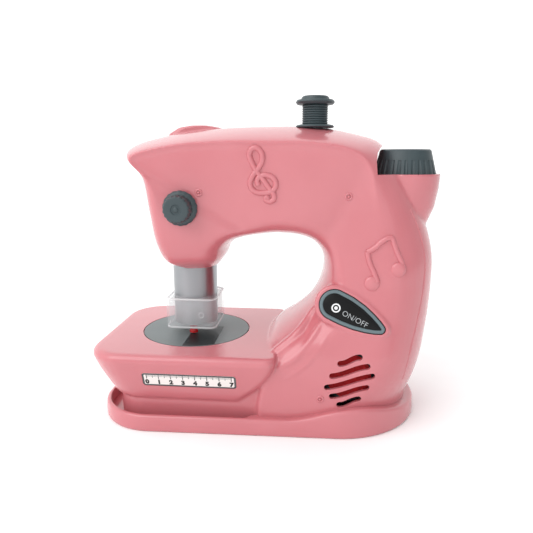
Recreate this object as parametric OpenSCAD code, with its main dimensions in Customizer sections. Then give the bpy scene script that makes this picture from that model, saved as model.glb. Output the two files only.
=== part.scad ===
// Toy sewing machine: moulded two-half body on an oval plinth, with a needle drive inside.
// +X runs to the hand wheel, -Y is the front, +Z is up; the origin is under the middle of the box.

/* [Body] */
// Wall of the moulded shells
wall = 2; // [1.6:0.1:2.4]
// Height of the bed's top face
bed_top = 44.7; // [42:0.1:47]
// Height of the bed's lower edge
bed_low = 17; // [15:0.5:19]
// Half depth of the bed at its widest
bed_half_depth = 51; // [49:0.5:53]
// Left end of the bed
bed_left = -99.8; // [-102:0.1:-97]
// Inward lean of the bed's front from top to bottom
bed_lean = 8; // [5:0.5:10]
// Inward lean of the bed's left end from top to bottom
bed_end_lean = 11; // [9:0.5:13]
// Gap left between parts that only sit in each other
fit_gap = 0.2; // [0.1:0.05:0.3]
// Gap round parts that move
run_gap = 0.4; // [0.3:0.05:0.6]

/* [Plinth] */
// Height of the plinth's rim at the front left
rim_low = 9.6; // [9:0.1:10.4]
// Height of the plinth's rim where its wave is highest
rim_high = 17; // [16:0.5:18]
// Radius of the plinth's round right end
plinth_end_r = 50; // [48:0.5:52]
// Radius of the plinth's left corners
plinth_corner_r = 33; // [30:1:36]
// Thickness of the plinth's floor
floor_t = 2.8; // [2.6:0.1:3.2]

/* [Needle] */
// Needle centre line, left of the origin
needle_x = -45; // [-46:0.5:-44]
// Needle position in front of the sleeve's axis
needle_front = 8.5; // [8:0.5:9]
// Outer diameter of the silver sleeve
sleeve_d = 27; // [25:0.5:28]
// Lower edge of the clear guard
guard_low = 49.5; // [48.5:0.5:51]
// Upper face of the clear guard
guard_high = 68.5; // [66:0.5:70]
// Depth of the clear guard
guard_depth = 33; // [31.5:0.5:34]
// Wall of the clear guard
guard_wall = 1.5; // [1.2:0.1:1.8]
// Stroke of the needle
needle_stroke = 6; // [4:0.5:6]
// Diameter of the throat plate
throat_d = 66; // [62:0.5:68]
// Thickness of the throat plate
throat_t = 1.6; // [1.4:0.1:2]

/* [Controls] */
// Diameter of the front knob's flange
knob_flange_d = 19.6; // [18:0.2:21]
// Diameter of the front knob's grip
knob_d = 15.2; // [14:0.2:16]
// Length of the front knob's grip
knob_len = 7.6; // [6:0.2:9]
// Height of the front knob's axis
knob_z = 124.4; // [123:0.2:126]
// Hand wheel diameter at its lower edge
wheel_d = 35.2; // [34:0.2:36]
// Hand wheel diameter at its top
wheel_top_d = 28; // [26:0.2:30]
// Height of the hand wheel
wheel_h = 13.6; // [12:0.2:15]
// Number of flutes on the hand wheel
wheel_flutes = 28; // [20:2:32]
// Hand wheel axis, right of the origin
wheel_x = 79.8; // [79:0.2:80.6]
// Travel of the on/off button
button_travel = 1.6; // [1:0.1:2]
// Spool flange diameter
spool_flange_d = 22.4; // [20:0.2:24]
// Spool barrel diameter
spool_barrel_d = 14.8; // [13:0.2:16]
// Number of moulded rings on the spool
spool_rings = 8; // [6:1:9]

/* [Drive] */
// Gear module
gear_module = 0.8; // [0.8:0.05:0.9]
// Teeth on the motor pinion and the small idler gear
pinion_teeth = 10; // [10:1:11]
// Teeth on the large idler gear
idler_teeth = 24; // [22:1:24]
// Teeth on the crank gear
crank_teeth = 24; // [22:1:24]
// Diameter of the drive axles
axle_d = 2; // [1.8:0.1:2.4]

/* [Hidden] */
$fn = 48;

pink = "#D9868D";
grey = "#4A5A5E";
dark = "#23292B";
silver = "#B9BDC0";
eps = 0.02;

// Stations along the head, arm and column, from the head's mouth to the foot. Each holds the outer
// edge (x, z), the inner edge (x, z), the half depth, the outer rounding, its power, the inner
// rounding, the share of the wall's thickness that the outer edge takes, and how far the roof's
// edge stands out over the front face.
stations = [
    [-53, 86.5, -30, 87.5, 15, 9, 2.2, 9, 1, 0],
    [-60.5, 92, -25.5, 93.5, 25, 11, 2.4, 11, 1, 0],
    [-65.5, 104, -23, 99.5, 29, 12, 2.4, 11, 1, 0],
    [-68, 122, -18, 104, 30.5, 12, 2.4, 11, 1, 0],
    [-71.5, 143, -10, 106.6, 31, 12, 2.2, 11, 1.8, 0.3],
    [-81.6, 156.4, -2, 107.9, 30.4, 10.5, 1.4, 11, 5, 1],
    [-60, 164, 3, 108.4, 31, 10, 1.25, 11, 1.8, 1.1],
    [-30, 168, 6, 108.5, 31.5, 9.5, 1.25, 11, 1.2, 1.1],
    [0, 169.2, 10, 108.4, 32, 9.5, 1.25, 11, 1, 1.1],
    [28, 168.8, 18, 107.8, 32, 9.5, 1.25, 11, 1, 1.1],
    [52, 164.5, 26, 105.5, 31, 10, 1.35, 11, 1, 1.1],
    [66, 159, 31, 101.5, 29.6, 16, 1.6, 11, 1.2, 0.8],
    [80, 142, 33.8, 96.5, 29.5, 26, 2, 11, 1, 0],
    [92, 117, 34.6, 90, 31, 30, 2, 12, 1, 0],
    [97.4, 98, 33.8, 83, 33, 30, 2, 15, 1, 0],
    [98, 82, 30.8, 74.6, 34.5, 30, 2, 20, 1, 0],
    [97.2, 65, 25, 66, 37, 31, 2, 26, 1, 0],
    [95.6, 51, 15.5, 57.6, 40.5, 32, 2, 28, 1, 0],
    [94, 40, 5, 49.5, 43.5, 33, 2, 22, 1, 0],
    [91.2, 28, -3, 36, 45.2, 37, 2, 12, 1, 0],
    [87, 15, -5, 18, 45, 44, 2, 6, 1, 0],
    [85.4, 4, -5, 4, 45, 46, 2, 6, 1, 0],
    [84.5, 0, -5, 0, 45, 46, 2, 6, 1, 0]];
outer_steps = 2;
hollow_steps = 1;
outer_arc = 5;
hollow_arc = 3;
shell_fn = 20;
inner_power = 2.4;
brim_run = 4.5;
foot_low = floor_t;
mouth_share = 0.175;

// One point of a smooth curve through four stations
function smooth(a, b, c, d, t) =
    0.5 * (2 * b + (c - a) * t + (2 * a - 5 * b + 4 * c - d) * t * t + (3 * b - a - 3 * c + d) * t * t * t);

function station_at(u) =
    let (last = len(stations) - 1,
         i = min(floor(u), last - 1),
         t = u - i)
    smooth(stations[max(i - 1, 0)], stations[i], stations[i + 1], stations[min(i + 2, last)], t);

// Half of the section at one station, from the outer edge round the front to the inner edge
function half_section(s, inset, overlap) =
    let (arc_steps = inset > 0 ? hollow_arc : outer_arc,
         outer = [s[0], s[1]],
         across = [s[2] - s[0], s[3] - s[1]],
         span = norm(across) - inset * (1 + s[8]),
         dir = across / norm(across),
         start = outer + dir * inset * s[8],
         depth = s[4] - inset,
         round_out = s[5] - inset / 2,
         round_in = s[7] - inset / 2,
         face = depth - s[9],
         rows = concat(
             overlap > 0 ? [[0, -overlap]] : [],
             [for (k = [0 : arc_steps])
                 let (a = 90 * k / arc_steps)
                 [round_out * (1 - pow(cos(a), 2 / s[6])), depth * pow(sin(a), 2 / s[6])]],
             [[round_out + brim_run / 3, depth - 0.7 * s[9]], [round_out + brim_run, face]],
             [for (k = [arc_steps : -1 : 0])
                 let (a = 90 * k / arc_steps, bend = 2 / inner_power)
                 [span - round_in * (1 - pow(cos(a), bend)), face * pow(sin(a), bend)]],
             overlap > 0 ? [[span, -overlap]] : []))
    [for (r = rows) [start.x + dir.x * r[0], -r[1], start.y + dir.y * r[0]]];

// Closed solid through a row of sections that all have the same number of points
module loft(sections) {
    m = len(sections[0]);
    n = len(sections);
    points = [for (s = sections) each s];
    sides = [for (i = [0 : n - 2]) for (k = [0 : m - 1])
        let (a = i * m + k, b = i * m + (k + 1) % m)
        each [[a, a + m, b], [b, a + m, b + m]]];
    first = [for (k = [1 : m - 2]) [0, k, k + 1]];
    last = [for (k = [1 : m - 2]) [(n - 1) * m, (n - 1) * m + k + 1, (n - 1) * m + k]];
    polyhedron(points, concat(sides, first, last));
}

// Front half of the head, arm and column
module frame_half(inset = 0, overlap = 0) {
    from = mouth_share * inset;
    count = (len(stations) - 1) * (inset > 0 ? hollow_steps : outer_steps);
    loft([for (i = [0 : count])
        half_section(station_at(from + (len(stations) - 1 - from) * i / count), inset, overlap)]);
}

// Bed: a boat-shaped block that leans in towards its lower edge
bed_right = 8.5;
bed_corner_r = 22;
bed_right_r = 5;
bed_edge = 4;
bed_sweep = 18.5;
end_power = 1.3;
sweep_power = 1.7;
bed_side_h = bed_top - bed_edge - bed_low;
module bed_block(inset = 0) {
    steps = inset > 0 ? 1 : 3;
    leaning = [for (i = [0 : steps])
        let (t = 1 - i / steps, u = t * (1 - inset / bed_side_h))
        [bed_low + inset + (1 - t) * (bed_side_h - 2 * inset), bed_end_lean * pow(u, end_power),
         bed_lean * u, bed_sweep * pow(u, sweep_power)]];
    rounded = [for (f = [[0.7, 0.29], [1, 1]])
        [bed_top - inset - bed_edge * (1 - f[0]) - eps, bed_edge * f[1], bed_edge * f[1], 0]];
    hull()
        for (v = concat(leaning, rounded))
            let (left = bed_left + v[1] + inset,
                 side = bed_half_depth - v[2] - inset,
                 right = bed_right - v[3] - inset)
            for (c = [[left, 1, bed_corner_r - v[2] / 2], [right, -1, bed_right_r]])
                for (y = [-1, 1])
                    translate([c[0] + c[1] * c[2], y * (side - c[2]), v[0]])
                        cylinder(r = c[2], h = eps, $fn = inset > 0 ? 16 : 28);
}

// Pedestal that carries the bed inside the plinth's rim
pedestal_half_depth = 42;
pedestal_left = -86;
pedestal_right = 24;
pedestal_r = 18;
pedestal_top = bed_low + 3;
module pedestal(inset = 0, top = pedestal_top) {
    low = inset > 0 ? foot_low - 2 : foot_low;
    hull()
        for (x = [pedestal_left + inset + pedestal_r, pedestal_right - pedestal_r])
            for (y = [-1, 1])
                translate([x, y * (pedestal_half_depth - inset - pedestal_r), low])
                    cylinder(r = pedestal_r, h = top - low, $fn = 32);
}

// Cup under the hand wheel
cup_rim_z = 142.6;
cup_r = wheel_d / 2 + run_gap + wall;
cup_floor_z = 128;
bowl_profile = [[6, 103.5], [10.5, 108], [13.8, 114], [17.6, 123.5], [19.4, 134], [cup_r, cup_rim_z]];
module cup_bowl(inset = 0) {
    translate([wheel_x, 0, inset])
        rotate_extrude($fn = 32)
            polygon(concat([[0, 102]], [for (p = bowl_profile) [p.x - inset, p.y]], [[0, cup_rim_z]]));
}
module cup_hollow() {
    translate([wheel_x, 0, cup_floor_z])
        cylinder(r = wheel_d / 2 + run_gap, h = cup_rim_z - cup_floor_z + 1, $fn = 32);
}

// Space over the cup for the wheel, reaching under the end of the roof
notch_x = wheel_x - wheel_d / 2 - 2 * run_gap;
roof_tip = [notch_x + 4.9, 158.2];
module wheel_notch(grow = 0) {
    left = [[0, cup_rim_z], [-0.4, cup_rim_z + 7], [0.6, cup_rim_z + 11.6], [3, cup_rim_z + 14.4]];
    translate([0, bed_half_depth, 0])
        rotate([90, 0, 0])
            linear_extrude(2 * bed_half_depth)
                translate([-grow, -grow])
                    polygon(concat([for (p = left) [notch_x + p.x, p.y]],
                                   [roof_tip, [roof_tip.x + 1, spool_z + 10]],
                                   [[120, spool_z + 10], [120, cup_rim_z]]));
}

// Throat plate seat in the bed's top
module throat_seat() {
    translate([needle_x, 0, bed_top - throat_t])
        cylinder(d = throat_d + 2 * fit_gap, h = throat_t + 1, $fn = 40);
}

// Places on the body, read along X and Z
screw_spots = [[-33, 141], [46.7, 131.2], [33.7, 21.2], [-84, 31], [77, 78]];
foot_spots = [[-62, 37.8], [-62, -37.8], [22, 41.6], [22, -41.6], [79.2, 14], [79.2, -14]];
foot_boss_h = 12;
boss_d = 7.5;
screw_d = 2.5;
screw_head_d = 5.6;
screw_seat = 8;
screw_reach = 12;
inner_post_d = 6.4;
inner_reach = 7.4;
inner_head = 1.6;
board_holes = [[-13, -9], [12, 8.4]];
pin_boss = 8.4;
lug_w = 9;
lug_z = 91;
lug_t = 2;
lug_out = 18;

button_x = 52;
button_z = 66.5;
button_y = -37.2;
button_tilt = 14;
button_circles = [[-11.5, 6.5, 8.3], [0.5, 0.4, 7.2], [13.4, -6.2, 2.5]];
button_proud = 0.9;
button_lip = 1.6;
button_flange = 1.4;
stop_gap = 0.1;

strip_x = -39.3;
strip_z = 29.8;
strip_w = 53;
strip_h = 8.8;
strip_t = 1;
bed_angle = atan(bed_lean / (bed_top - bed_edge - bed_low));
strip_y = -bed_half_depth + bed_lean * (bed_top - bed_edge - strip_z) / (bed_top - bed_edge - bed_low);

vent_x = 49.4;
vent_z = 32;
vent_r = 1.65;
vent_tilt = 8;
vent_pitch = 5.9;
vent_slope = 14;
vent_wave = 0.7;
vent_bend = 130;
vent_lengths = [10.4, 18.9, 24.2, 18.6, 10.2];
speaker_d = 25;
speaker_y = -36.8;

spool_x = 27.7;
spool_z = 168.3;
spool_seat_gap = 0.3;
pin_d = 4;
pin_flange = 1.6;

wheel_low = cup_floor_z + run_gap;
knob_y = -31.2;
sleeve_low = 51;
sleeve_high = 96;
guide_low = 58;
guide_t = 2;

// Places in the button's own frame, whose -Y is its face
module at_button() {
    translate([button_x, button_y, button_z])
        rotate([-button_tilt, 0, 0])
            children();
}

// Leaf-shaped prism between two depths of the button's frame
module leaf(grow, from, to) {
    hull()
        for (c = button_circles)
            translate([c[0], to, c[1]])
                rotate([90, 0, 0])
                    cylinder(r = c[2] + grow, h = to - from, $fn = 32);
}

// Cylinder along Y from y0 to y1
module rod_y(x, z, d, y0, y1) {
    translate([x, y0, z])
        rotate([-90, 0, 0])
            cylinder(d = d, h = y1 - y0);
}

// Front half of the outside of the body
module body_half() {
    intersection() {
        union() {
            frame_half();
            bed_block();
            pedestal();
            cup_bowl();
        }
        front_side(foot_low);
    }
}

// Space in front of the parting plane, above a height
module front_side(low) {
    translate([-150, -100, low])
        cube([300, 100, 250]);
}

// Body drawn in from its outside, reaching over the parting plane
module body_core(inset) {
    frame_half(inset, 1);
    bed_block(inset);
    pedestal(inset, pedestal_top - inset);
    if (inset > 0)
        intersection() {
            pedestal(inset);
            translate([0, 0, -inset])
                bed_block(inset);
        }
    cup_bowl(inset);
}

// Inside of the body, open at the parting plane
module body_hollow() {
    difference() {
        body_core(wall);
        translate([wheel_x, 0, cup_floor_z - wall])
            cylinder(r = cup_r, h = 60);
        wheel_notch(wall);
        translate([needle_x, 0, bed_top - throat_t - wall])
            cylinder(d = throat_d + 2 * wall, h = wall);
    }
}

// Posts that take the screws, rooted half way into the wall
module body_posts() {
    intersection() {
        union() {
            for (s = screw_spots)
                rod_y(s.x, s.y, boss_d, -60, 0, $fn = 24);
            for (f = foot_spots)
                if (f.y < 0)
                    translate([f.x, f.y, foot_low])
                        cylinder(d = boss_d, h = foot_boss_h, $fn = 24);
            at_spool()
                translate([0, 0, -pin_boss])
                    cylinder(d = pin_d + 6, h = 2 * pin_boss);
            translate([needle_x - lug_w / 2, -25, 80])
                cube([lug_w, 25, lug_z - 80]);
        }
        body_core(wall / 2);
        front_side(foot_low);
    }
}

// Seats on the front half for the knob's bush, the circuit board and the speaker
module front_seats() {
    intersection() {
        union() {
            rod_y(needle_x, knob_z, bush_d + 4, -60, bush_seat_y);
            at_button()
                for (h = board_holes)
                    rod_y(h.x, h.y, inner_post_d, -4, board_y);
            at_speaker() {
                difference() {
                    translate([0, 0, -8])
                        cylinder(d = speaker_d + 3, h = 8);
                    translate([0, 0, -9])
                        cylinder(d = speaker_d - 4, h = 10);
                }
                for (x = [-1, 1])
                    translate([x * clamp_reach, 0, -12])
                        cylinder(d = inner_post_d, h = 12 + clamp_low);
            }
        }
        body_core(wall / 2);
    }
}
module front_seat_holes() {
    at_button()
        for (h = board_holes)
            rod_y(h.x, h.y, screw_d + 2 * fit_gap, board_y - inner_reach, board_y + 1);
    at_speaker()
        for (x = [-1, 1])
            translate([x * clamp_reach, 0, clamp_low - inner_reach])
                cylinder(d = screw_d + 2 * fit_gap, h = inner_reach + 1);
}

// Openings that both halves share
module shared_cuts() {
    cup_hollow();
    wheel_notch();
    throat_seat();
    translate([needle_x, 0, 80])
        cylinder(d = sleeve_d + 2 * fit_gap, h = sleeve_high - 80);
    at_spool() {
        translate([0, 0, -12])
            cylinder(d = pin_d + 2 * fit_gap, h = 30);
        translate([0, 0, -spool_seat_gap])
            cylinder(d = spool_flange_d + 2 * run_gap, h = 10);
    }
    translate([wheel_x, 0, cup_floor_z - wall - 1])
        cylinder(d = bush_d + 2 * fit_gap, h = 10);
    for (f = foot_spots)
        translate([f.x, f.y, 0])
            cylinder(d = screw_d + 2 * fit_gap, h = foot_low + foot_boss_h - 3.8);
}

// Wavy slots of the speaker grille
module vent_slots() {
    translate([vent_x, 0, vent_z])
        for (i = [0 : len(vent_lengths) - 1])
            let (half = vent_lengths[i] / 2, level = (2 - i) * vent_pitch)
            for (k = [0 : 2])
                hull()
                    for (e = [k, k + 1])
                        let (u = half * (2 * e / 3 - 1),
                             wave = vent_wave * sin(vent_bend * u / half))
                        rod_y(u, level + u * tan(vent_slope) + wave, 2 * vent_r, -60, -30, $fn = 8);
}

module front_shell() {
    $fn = shell_fn;
    color(pink)
        difference() {
            union() {
                difference() {
                    body_half();
                    body_hollow();
                }
                body_posts();
                front_seats();
                intersection() {
                    at_button() leaf(button_lip + run_gap, -button_proud, button_back - stop_gap);
                    front_side(foot_low);
                }
            }
            shared_cuts();
            vent_slots();
            front_seat_holes();
            at_button() {
                leaf(run_gap, -5, button_back);
                leaf(button_flange + run_gap, button_back - stop_gap, board_y - 1);
            }
            rod_y(needle_x, knob_z, bush_d + 2 * fit_gap, -40, -20);
            translate([strip_x, strip_y, strip_z])
                rotate([bed_angle, 0, 0])
                    strip_plate(fit_gap, 3);
            for (s = screw_spots)
                rod_y(s.x, s.y, screw_d + 2 * fit_gap, -screw_reach - 1, 1);
        }
}

module rear_shell() {
    $fn = shell_fn;
    color(pink)
        mirror([0, 1, 0])
            difference() {
                union() {
                    difference() {
                        body_half();
                        body_hollow();
                    }
                    body_posts();
                    rear_mound();
                    intersection() {
                        for (f = frame_posts)
                            rod_y(f.x, f.y, frame_post_d, -60, -plate_y - plate_t);
                        body_core(wall / 2);
                    }
                }
                shared_cuts();
                for (f = frame_posts)
                    rod_y(f.x, f.y, screw_d + 2 * fit_gap, -plate_y - plate_t - inner_reach, 0);
                for (s = screw_spots) {
                    rod_y(s.x, s.y, screw_d + 4 * fit_gap, -60, 1);
                    rod_y(s.x, s.y, screw_head_d + 4 * fit_gap, -60, -screw_seat);
                }
            }
}

// Low rounded mound on the rear half of the arm's top
mound_x = -42;
module rear_mound() {
    hull()
        for (k = [-2 : 2])
            translate([mound_x + 7 * k, -10, 150])
                cylinder(r1 = 8, r2 = 5, h = 20.6 - 1.1 * k * k + 0.4 * k, $fn = 24);
}

// Rounded rectangle standing on its long side, its face at y = 0 of its own frame
module strip_plate(grow, thick) {
    r = 1.6;
    translate([0, strip_t + grow / 2, 0])
        rotate([90, 0, 0])
            hull()
                for (x = [-1, 1])
                    for (z = [-1, 1])
                        translate([x * (strip_w / 2 - r), z * (strip_h / 2 - r), 0])
                            cylinder(r = r + grow, h = thick, $fn = 24);
}

// Plinth: an oval tray whose rim rises in a wave towards the right end
plinth_left = -97;
plinth_right = 91.5;
plinth_front = 52;
plinth_round = 1.2;
rim_wall = 2.8;
ledge = 4.5;
ledge_x = -6;
module plinth_plan(inset, z) {
    translate([plinth_right - plinth_end_r, 0, z])
        cylinder(r = plinth_end_r - inset, h = eps, $fn = 64);
    for (y = [-1, 1])
        translate([plinth_left + plinth_corner_r, y * (plinth_front - plinth_corner_r), z])
            cylinder(r = plinth_corner_r - inset, h = eps, $fn = 64);
}
module plinth_block() {
    hull() {
        plinth_plan(plinth_round, 0);
        plinth_plan(0, plinth_round * 1.4);
        plinth_plan(0.8, rim_high + 3);
    }
}

// Height of the rim at one place along X
wave_start = 14;
wave_end = 94;
function rim_at(x) =
    let (turn = 360 * (x - wave_start) / (wave_end - wave_start))
    rim_low + (rim_high - rim_low) * (1 - cos(min(max(turn, 0), 360))) / 2;

cell_d = 14.3;
cell_len = 50.2;
cell_gap = 0.4;
contact_t = 0.5;
contact_bump = 2.3;
contact_slack = 0.1;
battery_left = -74.5;
battery_right = battery_left + cell_len + 2 * (contact_bump + contact_slack);
battery_half = cell_d + cell_gap + 0.9;
door_step = 3;
door_t = 1.6;
door_tab = 10;
door_head = 0.8;
battery_wall = 1.6;
battery_wall_h = 9;
module door_plan(grow, z0, z1) {
    translate([battery_left - door_step - grow, -battery_half - door_step - grow, z0])
        cube([battery_right - battery_left + 2 * door_step + door_tab + 2 * grow,
              2 * (battery_half + door_step + grow), z1 - z0]);
}
door_screw_x = battery_right + door_step + door_tab / 2;

module base_tray() {
    profile = concat(
        [[-150, 0], [150, 0], [150, rim_at(150)]],
        [for (i = [16 : -1 : 0]) let (x = wave_start + (wave_end - wave_start) * i / 16) [x, rim_at(x)]],
        [[-150, rim_low]]);
    color(pink)
        difference() {
            union() {
                difference() {
                    intersection() {
                        plinth_block();
                        translate([0, 80, 0])
                            rotate([90, 0, 0])
                                linear_extrude(160)
                                    polygon(profile);
                    }
                    hull() {
                        plinth_plan(ledge, floor_t);
                        plinth_plan(ledge, rim_high + 5);
                    }
                    intersection() {
                        hull() {
                            plinth_plan(rim_wall, floor_t);
                            plinth_plan(rim_wall, rim_high + 5);
                        }
                        translate([ledge_x - 200, -100, 0])
                            cube([200, 200, 100]);
                    }
                }
                translate([battery_left - battery_wall, -battery_half - battery_wall, floor_t])
                    cube([battery_right - battery_left + 2 * battery_wall, 2 * (battery_half + battery_wall),
                          battery_wall_h]);
                translate([door_screw_x, 0, floor_t])
                    cylinder(d = boss_d, h = 8);
            }
            translate([battery_left, -battery_half, -1])
                cube([battery_right - battery_left, 2 * battery_half, 40]);
            door_plan(0, -1, door_t + fit_gap);
            translate([door_screw_x, 0, -1])
                cylinder(d = screw_d + 2 * fit_gap, h = 10);
            for (f = foot_spots)
                translate([f.x, f.y, -1]) {
                    cylinder(d = screw_d + 4 * fit_gap, h = 9);
                    cylinder(d = screw_head_d + 4 * fit_gap, h = 1 + floor_t / 2);
                }
        }
}

module battery_door() {
    color(pink)
        difference() {
            union() {
                door_plan(-fit_gap, fit_gap, door_t);
                for (k = [-2 : 2])
                    translate([battery_left + 8 + 3 * k, -8, fit_gap])
                        cube([1.2, 16, door_t]);
            }
            translate([door_screw_x, 0, -1]) {
                cylinder(d = screw_d + 4 * fit_gap, h = 9);
                cylinder(d = screw_head_d + 2 * fit_gap, h = 1 + fit_gap + door_head);
            }
        }
}

// Pan-head screw pointing up, its head's top at z = 0 of its own frame
module screw(reach, head_h) {
    difference() {
        union() {
            cylinder(d = screw_head_d, h = head_h);
            cylinder(d = screw_d, h = reach);
        }
        for (a = [0, 90])
            rotate([0, 0, a])
                translate([-1.5, -0.35, -1])
                    cube([3, 0.7, 1.6]);
    }
}

module battery_screw() {
    color(silver)
        translate([door_screw_x, 0, fit_gap])
            screw(8, door_head);
}

module base_screws() {
    color(silver)
        for (f = foot_spots)
            translate([f.x, f.y, fit_gap])
                screw(10, floor_t / 2 - fit_gap);
}

// Screws of the drive's plate, the circuit board and the speaker's ring, all alike
module inner_screws() {
    color(silver) {
        for (f = frame_posts)
            translate([f.x, plate_y - inner_head, f.y])
                rotate([-90, 0, 0])
                    screw(inner_head + inner_reach, inner_head);
        at_button()
            for (h = board_holes)
                translate([h.x, board_y + board_t + inner_head, h.y])
                    rotate([90, 0, 0])
                        screw(inner_head + inner_reach, inner_head);
        at_speaker()
            for (x = [-1, 1])
                translate([x * clamp_reach, 0, clamp_low + clamp_t + inner_head])
                    rotate([180, 0, 0])
                        screw(inner_head + inner_reach, inner_head);
    }
}

module shell_screws() {
    color(silver)
        for (s = screw_spots)
            translate([s.x, screw_seat + 2, s.y])
                rotate([90, 0, 0])
                    screw(screw_seat + 2 + screw_reach, 2);
}

cell_x = (battery_left + battery_right) / 2;
cell_z = door_t + fit_gap + 0.2 + cell_d / 2;
module battery_cells() {
    color("#C9A23A")
        for (y = [-1, 1])
            translate([cell_x - y * cell_len / 2, y * (cell_d / 2 + cell_gap), cell_z])
                rotate([0, 90 * y, 0]) {
                    cylinder(d = cell_d, h = cell_len - 1);
                    cylinder(d = 5.4, h = cell_len);
                }
}

module battery_contacts() {
    color(silver)
        for (side = [-1, 1]) {
            translate([side < 0 ? battery_left : battery_right - contact_t, -battery_half + 1, floor_t])
                cube([contact_t, 2 * battery_half - 2, battery_wall_h]);
            for (y = [-1, 1])
                translate([side < 0 ? battery_left : battery_right - contact_bump,
                           y * (cell_d / 2 + cell_gap), cell_z])
                    rotate([0, 90, 0])
                        cylinder(d = 5, h = contact_bump);
        }
}

// Dark plate let into the throat plate, from under the guard to its front edge
slide_x = needle_x + 7.5;
slide_w = 18;
slide_back = 4;
module slide_outline(grow) {
    intersection() {
        translate([needle_x, 0, 0])
            circle(d = throat_d - 1.6 + 2 * grow, $fn = 96);
        translate([slide_x - slide_w / 2 - grow, -throat_d / 2 - 5])
            square([slide_w + 2 * grow, throat_d / 2 + 5 + slide_back + grow]);
    }
}

module throat_plate() {
    color("#7F8A8B")
        difference() {
            translate([needle_x, 0, bed_top - throat_t])
                cylinder(d = throat_d, h = throat_t, $fn = 96);
            translate([0, 0, bed_top - throat_t / 2])
                linear_extrude(throat_t)
                    slide_outline(fit_gap / 2);
        }
}

module slide_plate() {
    color(dark)
        translate([0, 0, bed_top - throat_t / 2])
            linear_extrude(throat_t / 2)
                slide_outline(0);
}

module scale_strip() {
    color("#E8E4E1")
        translate([strip_x, strip_y, strip_z])
            rotate([bed_angle, 0, 0])
                strip_plate(0, strip_t);
}

needle_d = 3.6;
shaft_gap = 0.05;
module needle_sleeve() {
    color(silver)
        difference() {
            union() {
                translate([needle_x, 0, sleeve_low])
                    cylinder(d = sleeve_d, h = sleeve_high - sleeve_low);
                translate([needle_x - lug_w / 2 + fit_gap, -lug_out, lug_z])
                    cube([lug_w - 2 * fit_gap, 2 * lug_out, lug_t]);
            }
            for (z = [[sleeve_low - 1, guide_low], [guide_low + guide_t, sleeve_high - 3]])
                translate([needle_x, 0, z[0]])
                    cylinder(d = sleeve_d - 2.4, h = z[1] - z[0]);
            translate([needle_x, -needle_front, 0])
                cylinder(d = needle_d + 2 * shaft_gap, h = 200);
            translate([needle_x, lamp_y, guide_low - 1])
                cylinder(d = lamp_d + 2 * fit_gap, h = guide_t + 2);
        }
}

guard_w = sleeve_d + 2 * (guard_wall + 3 * fit_gap);
module guard_prism(inset, z0, z1) {
    r = 4.5 - inset;
    hull()
        for (x = [-1, 1])
            for (y = [-1, 1])
                translate([needle_x + x * (guard_w / 2 - inset - r), y * (guard_depth / 2 - inset - r), z0])
                    cylinder(r = r, h = z1 - z0, $fn = 32);
}
module needle_guard() {
    color([0.9, 0.93, 0.95, 0.4])
        difference() {
            guard_prism(0, guard_low, guard_high);
            guard_prism(guard_wall, guard_low - 1, guard_high - guard_wall);
            translate([needle_x, 0, 0])
                cylinder(d = sleeve_d + fit_gap, h = 100);
        }
}

lamp_y = 5;
lamp_d = 5;
module lamp() {
    color("#F4F0E6")
        translate([needle_x, lamp_y, guide_low]) {
            sphere(d = lamp_d);
            cylinder(d = lamp_d, h = guide_t + 5);
            translate([0, 0, guide_t])
                cylinder(d = lamp_d + 1.2, h = 1);
        }
}

// Needle drive: motor, idler and crank turn about axes along Y
crank_z = knob_z - 0.4;
crank_r = needle_stroke / 2;
crank_pin_d = 2.4;
mesh_gap = 0.15;
idler_step = gear_module * (pinion_teeth + crank_teeth) / 2 + mesh_gap;
motor_step = gear_module * (pinion_teeth + idler_teeth) / 2 + mesh_gap;
idler_turn = -30;
motor_turn = 35;
idler_x = needle_x + idler_step * cos(idler_turn);
idler_z = crank_z + idler_step * sin(idler_turn);
motor_x = idler_x + motor_step * cos(motor_turn);
motor_z = idler_z + motor_step * sin(motor_turn);
gear_t = 4;
crank_y = -2;
large_y = crank_y + gear_t + 0.6;
plate_y = large_y + gear_t + 0.6;
plate_t = 1.8;
axle_gap = 0.05;

// Outline of a gear whose first tooth points along an angle
function gear_outline(teeth, turn) =
    let (r = gear_module * teeth / 2,
         root = r - 1.15 * gear_module,
         tip = r + 0.85 * gear_module,
         pitch = 360 / teeth)
    [for (i = [0 : teeth - 1])
        each [for (c = [[root, -0.36], [r, -0.21], [tip, -0.09], [tip, 0.09], [r, 0.21], [root, 0.36]])
            let (a = turn + pitch * (i + c[1]))
            [c[0] * cos(a), c[0] * sin(a)]]];

// Prism of an X-Z outline between two depths
module slab_y(outline, y0, y1) {
    translate([0, y1, 0])
        rotate([90, 0, 0])
            linear_extrude(y1 - y0)
                polygon(outline);
}
module at_xz(x, z) {
    translate([x, 0, z])
        children();
}

// Angles that put a tooth of one gear into a gap of the next
idler_small_turn = idler_turn;
crank_turn = idler_turn + 180 / crank_teeth;
idler_large_turn = motor_turn;
pinion_turn = motor_turn + 180 + 180 / pinion_teeth;

module crank_gear() {
    color("#E9E7DF")
        difference() {
            union() {
                at_xz(needle_x, crank_z) {
                    slab_y(gear_outline(crank_teeth, crank_turn), crank_y, crank_y + gear_t);
                    rod_y(0, -crank_r, crank_pin_d, crank_y - 7.6, crank_y + 1);
                }
            }
            rod_y(needle_x, crank_z, axle_d + 2 * axle_gap, crank_y - 1, crank_y + gear_t + 1);
        }
}

module idler_gear() {
    color("#E9E7DF")
        difference() {
            at_xz(idler_x, idler_z) {
                slab_y(gear_outline(idler_teeth, idler_large_turn), large_y, large_y + gear_t);
                slab_y(gear_outline(pinion_teeth, idler_small_turn), crank_y, large_y + 0.5);
            }
            rod_y(idler_x, idler_z, axle_d + 2 * axle_gap, crank_y - 1, large_y + gear_t + 1);
        }
}

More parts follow.
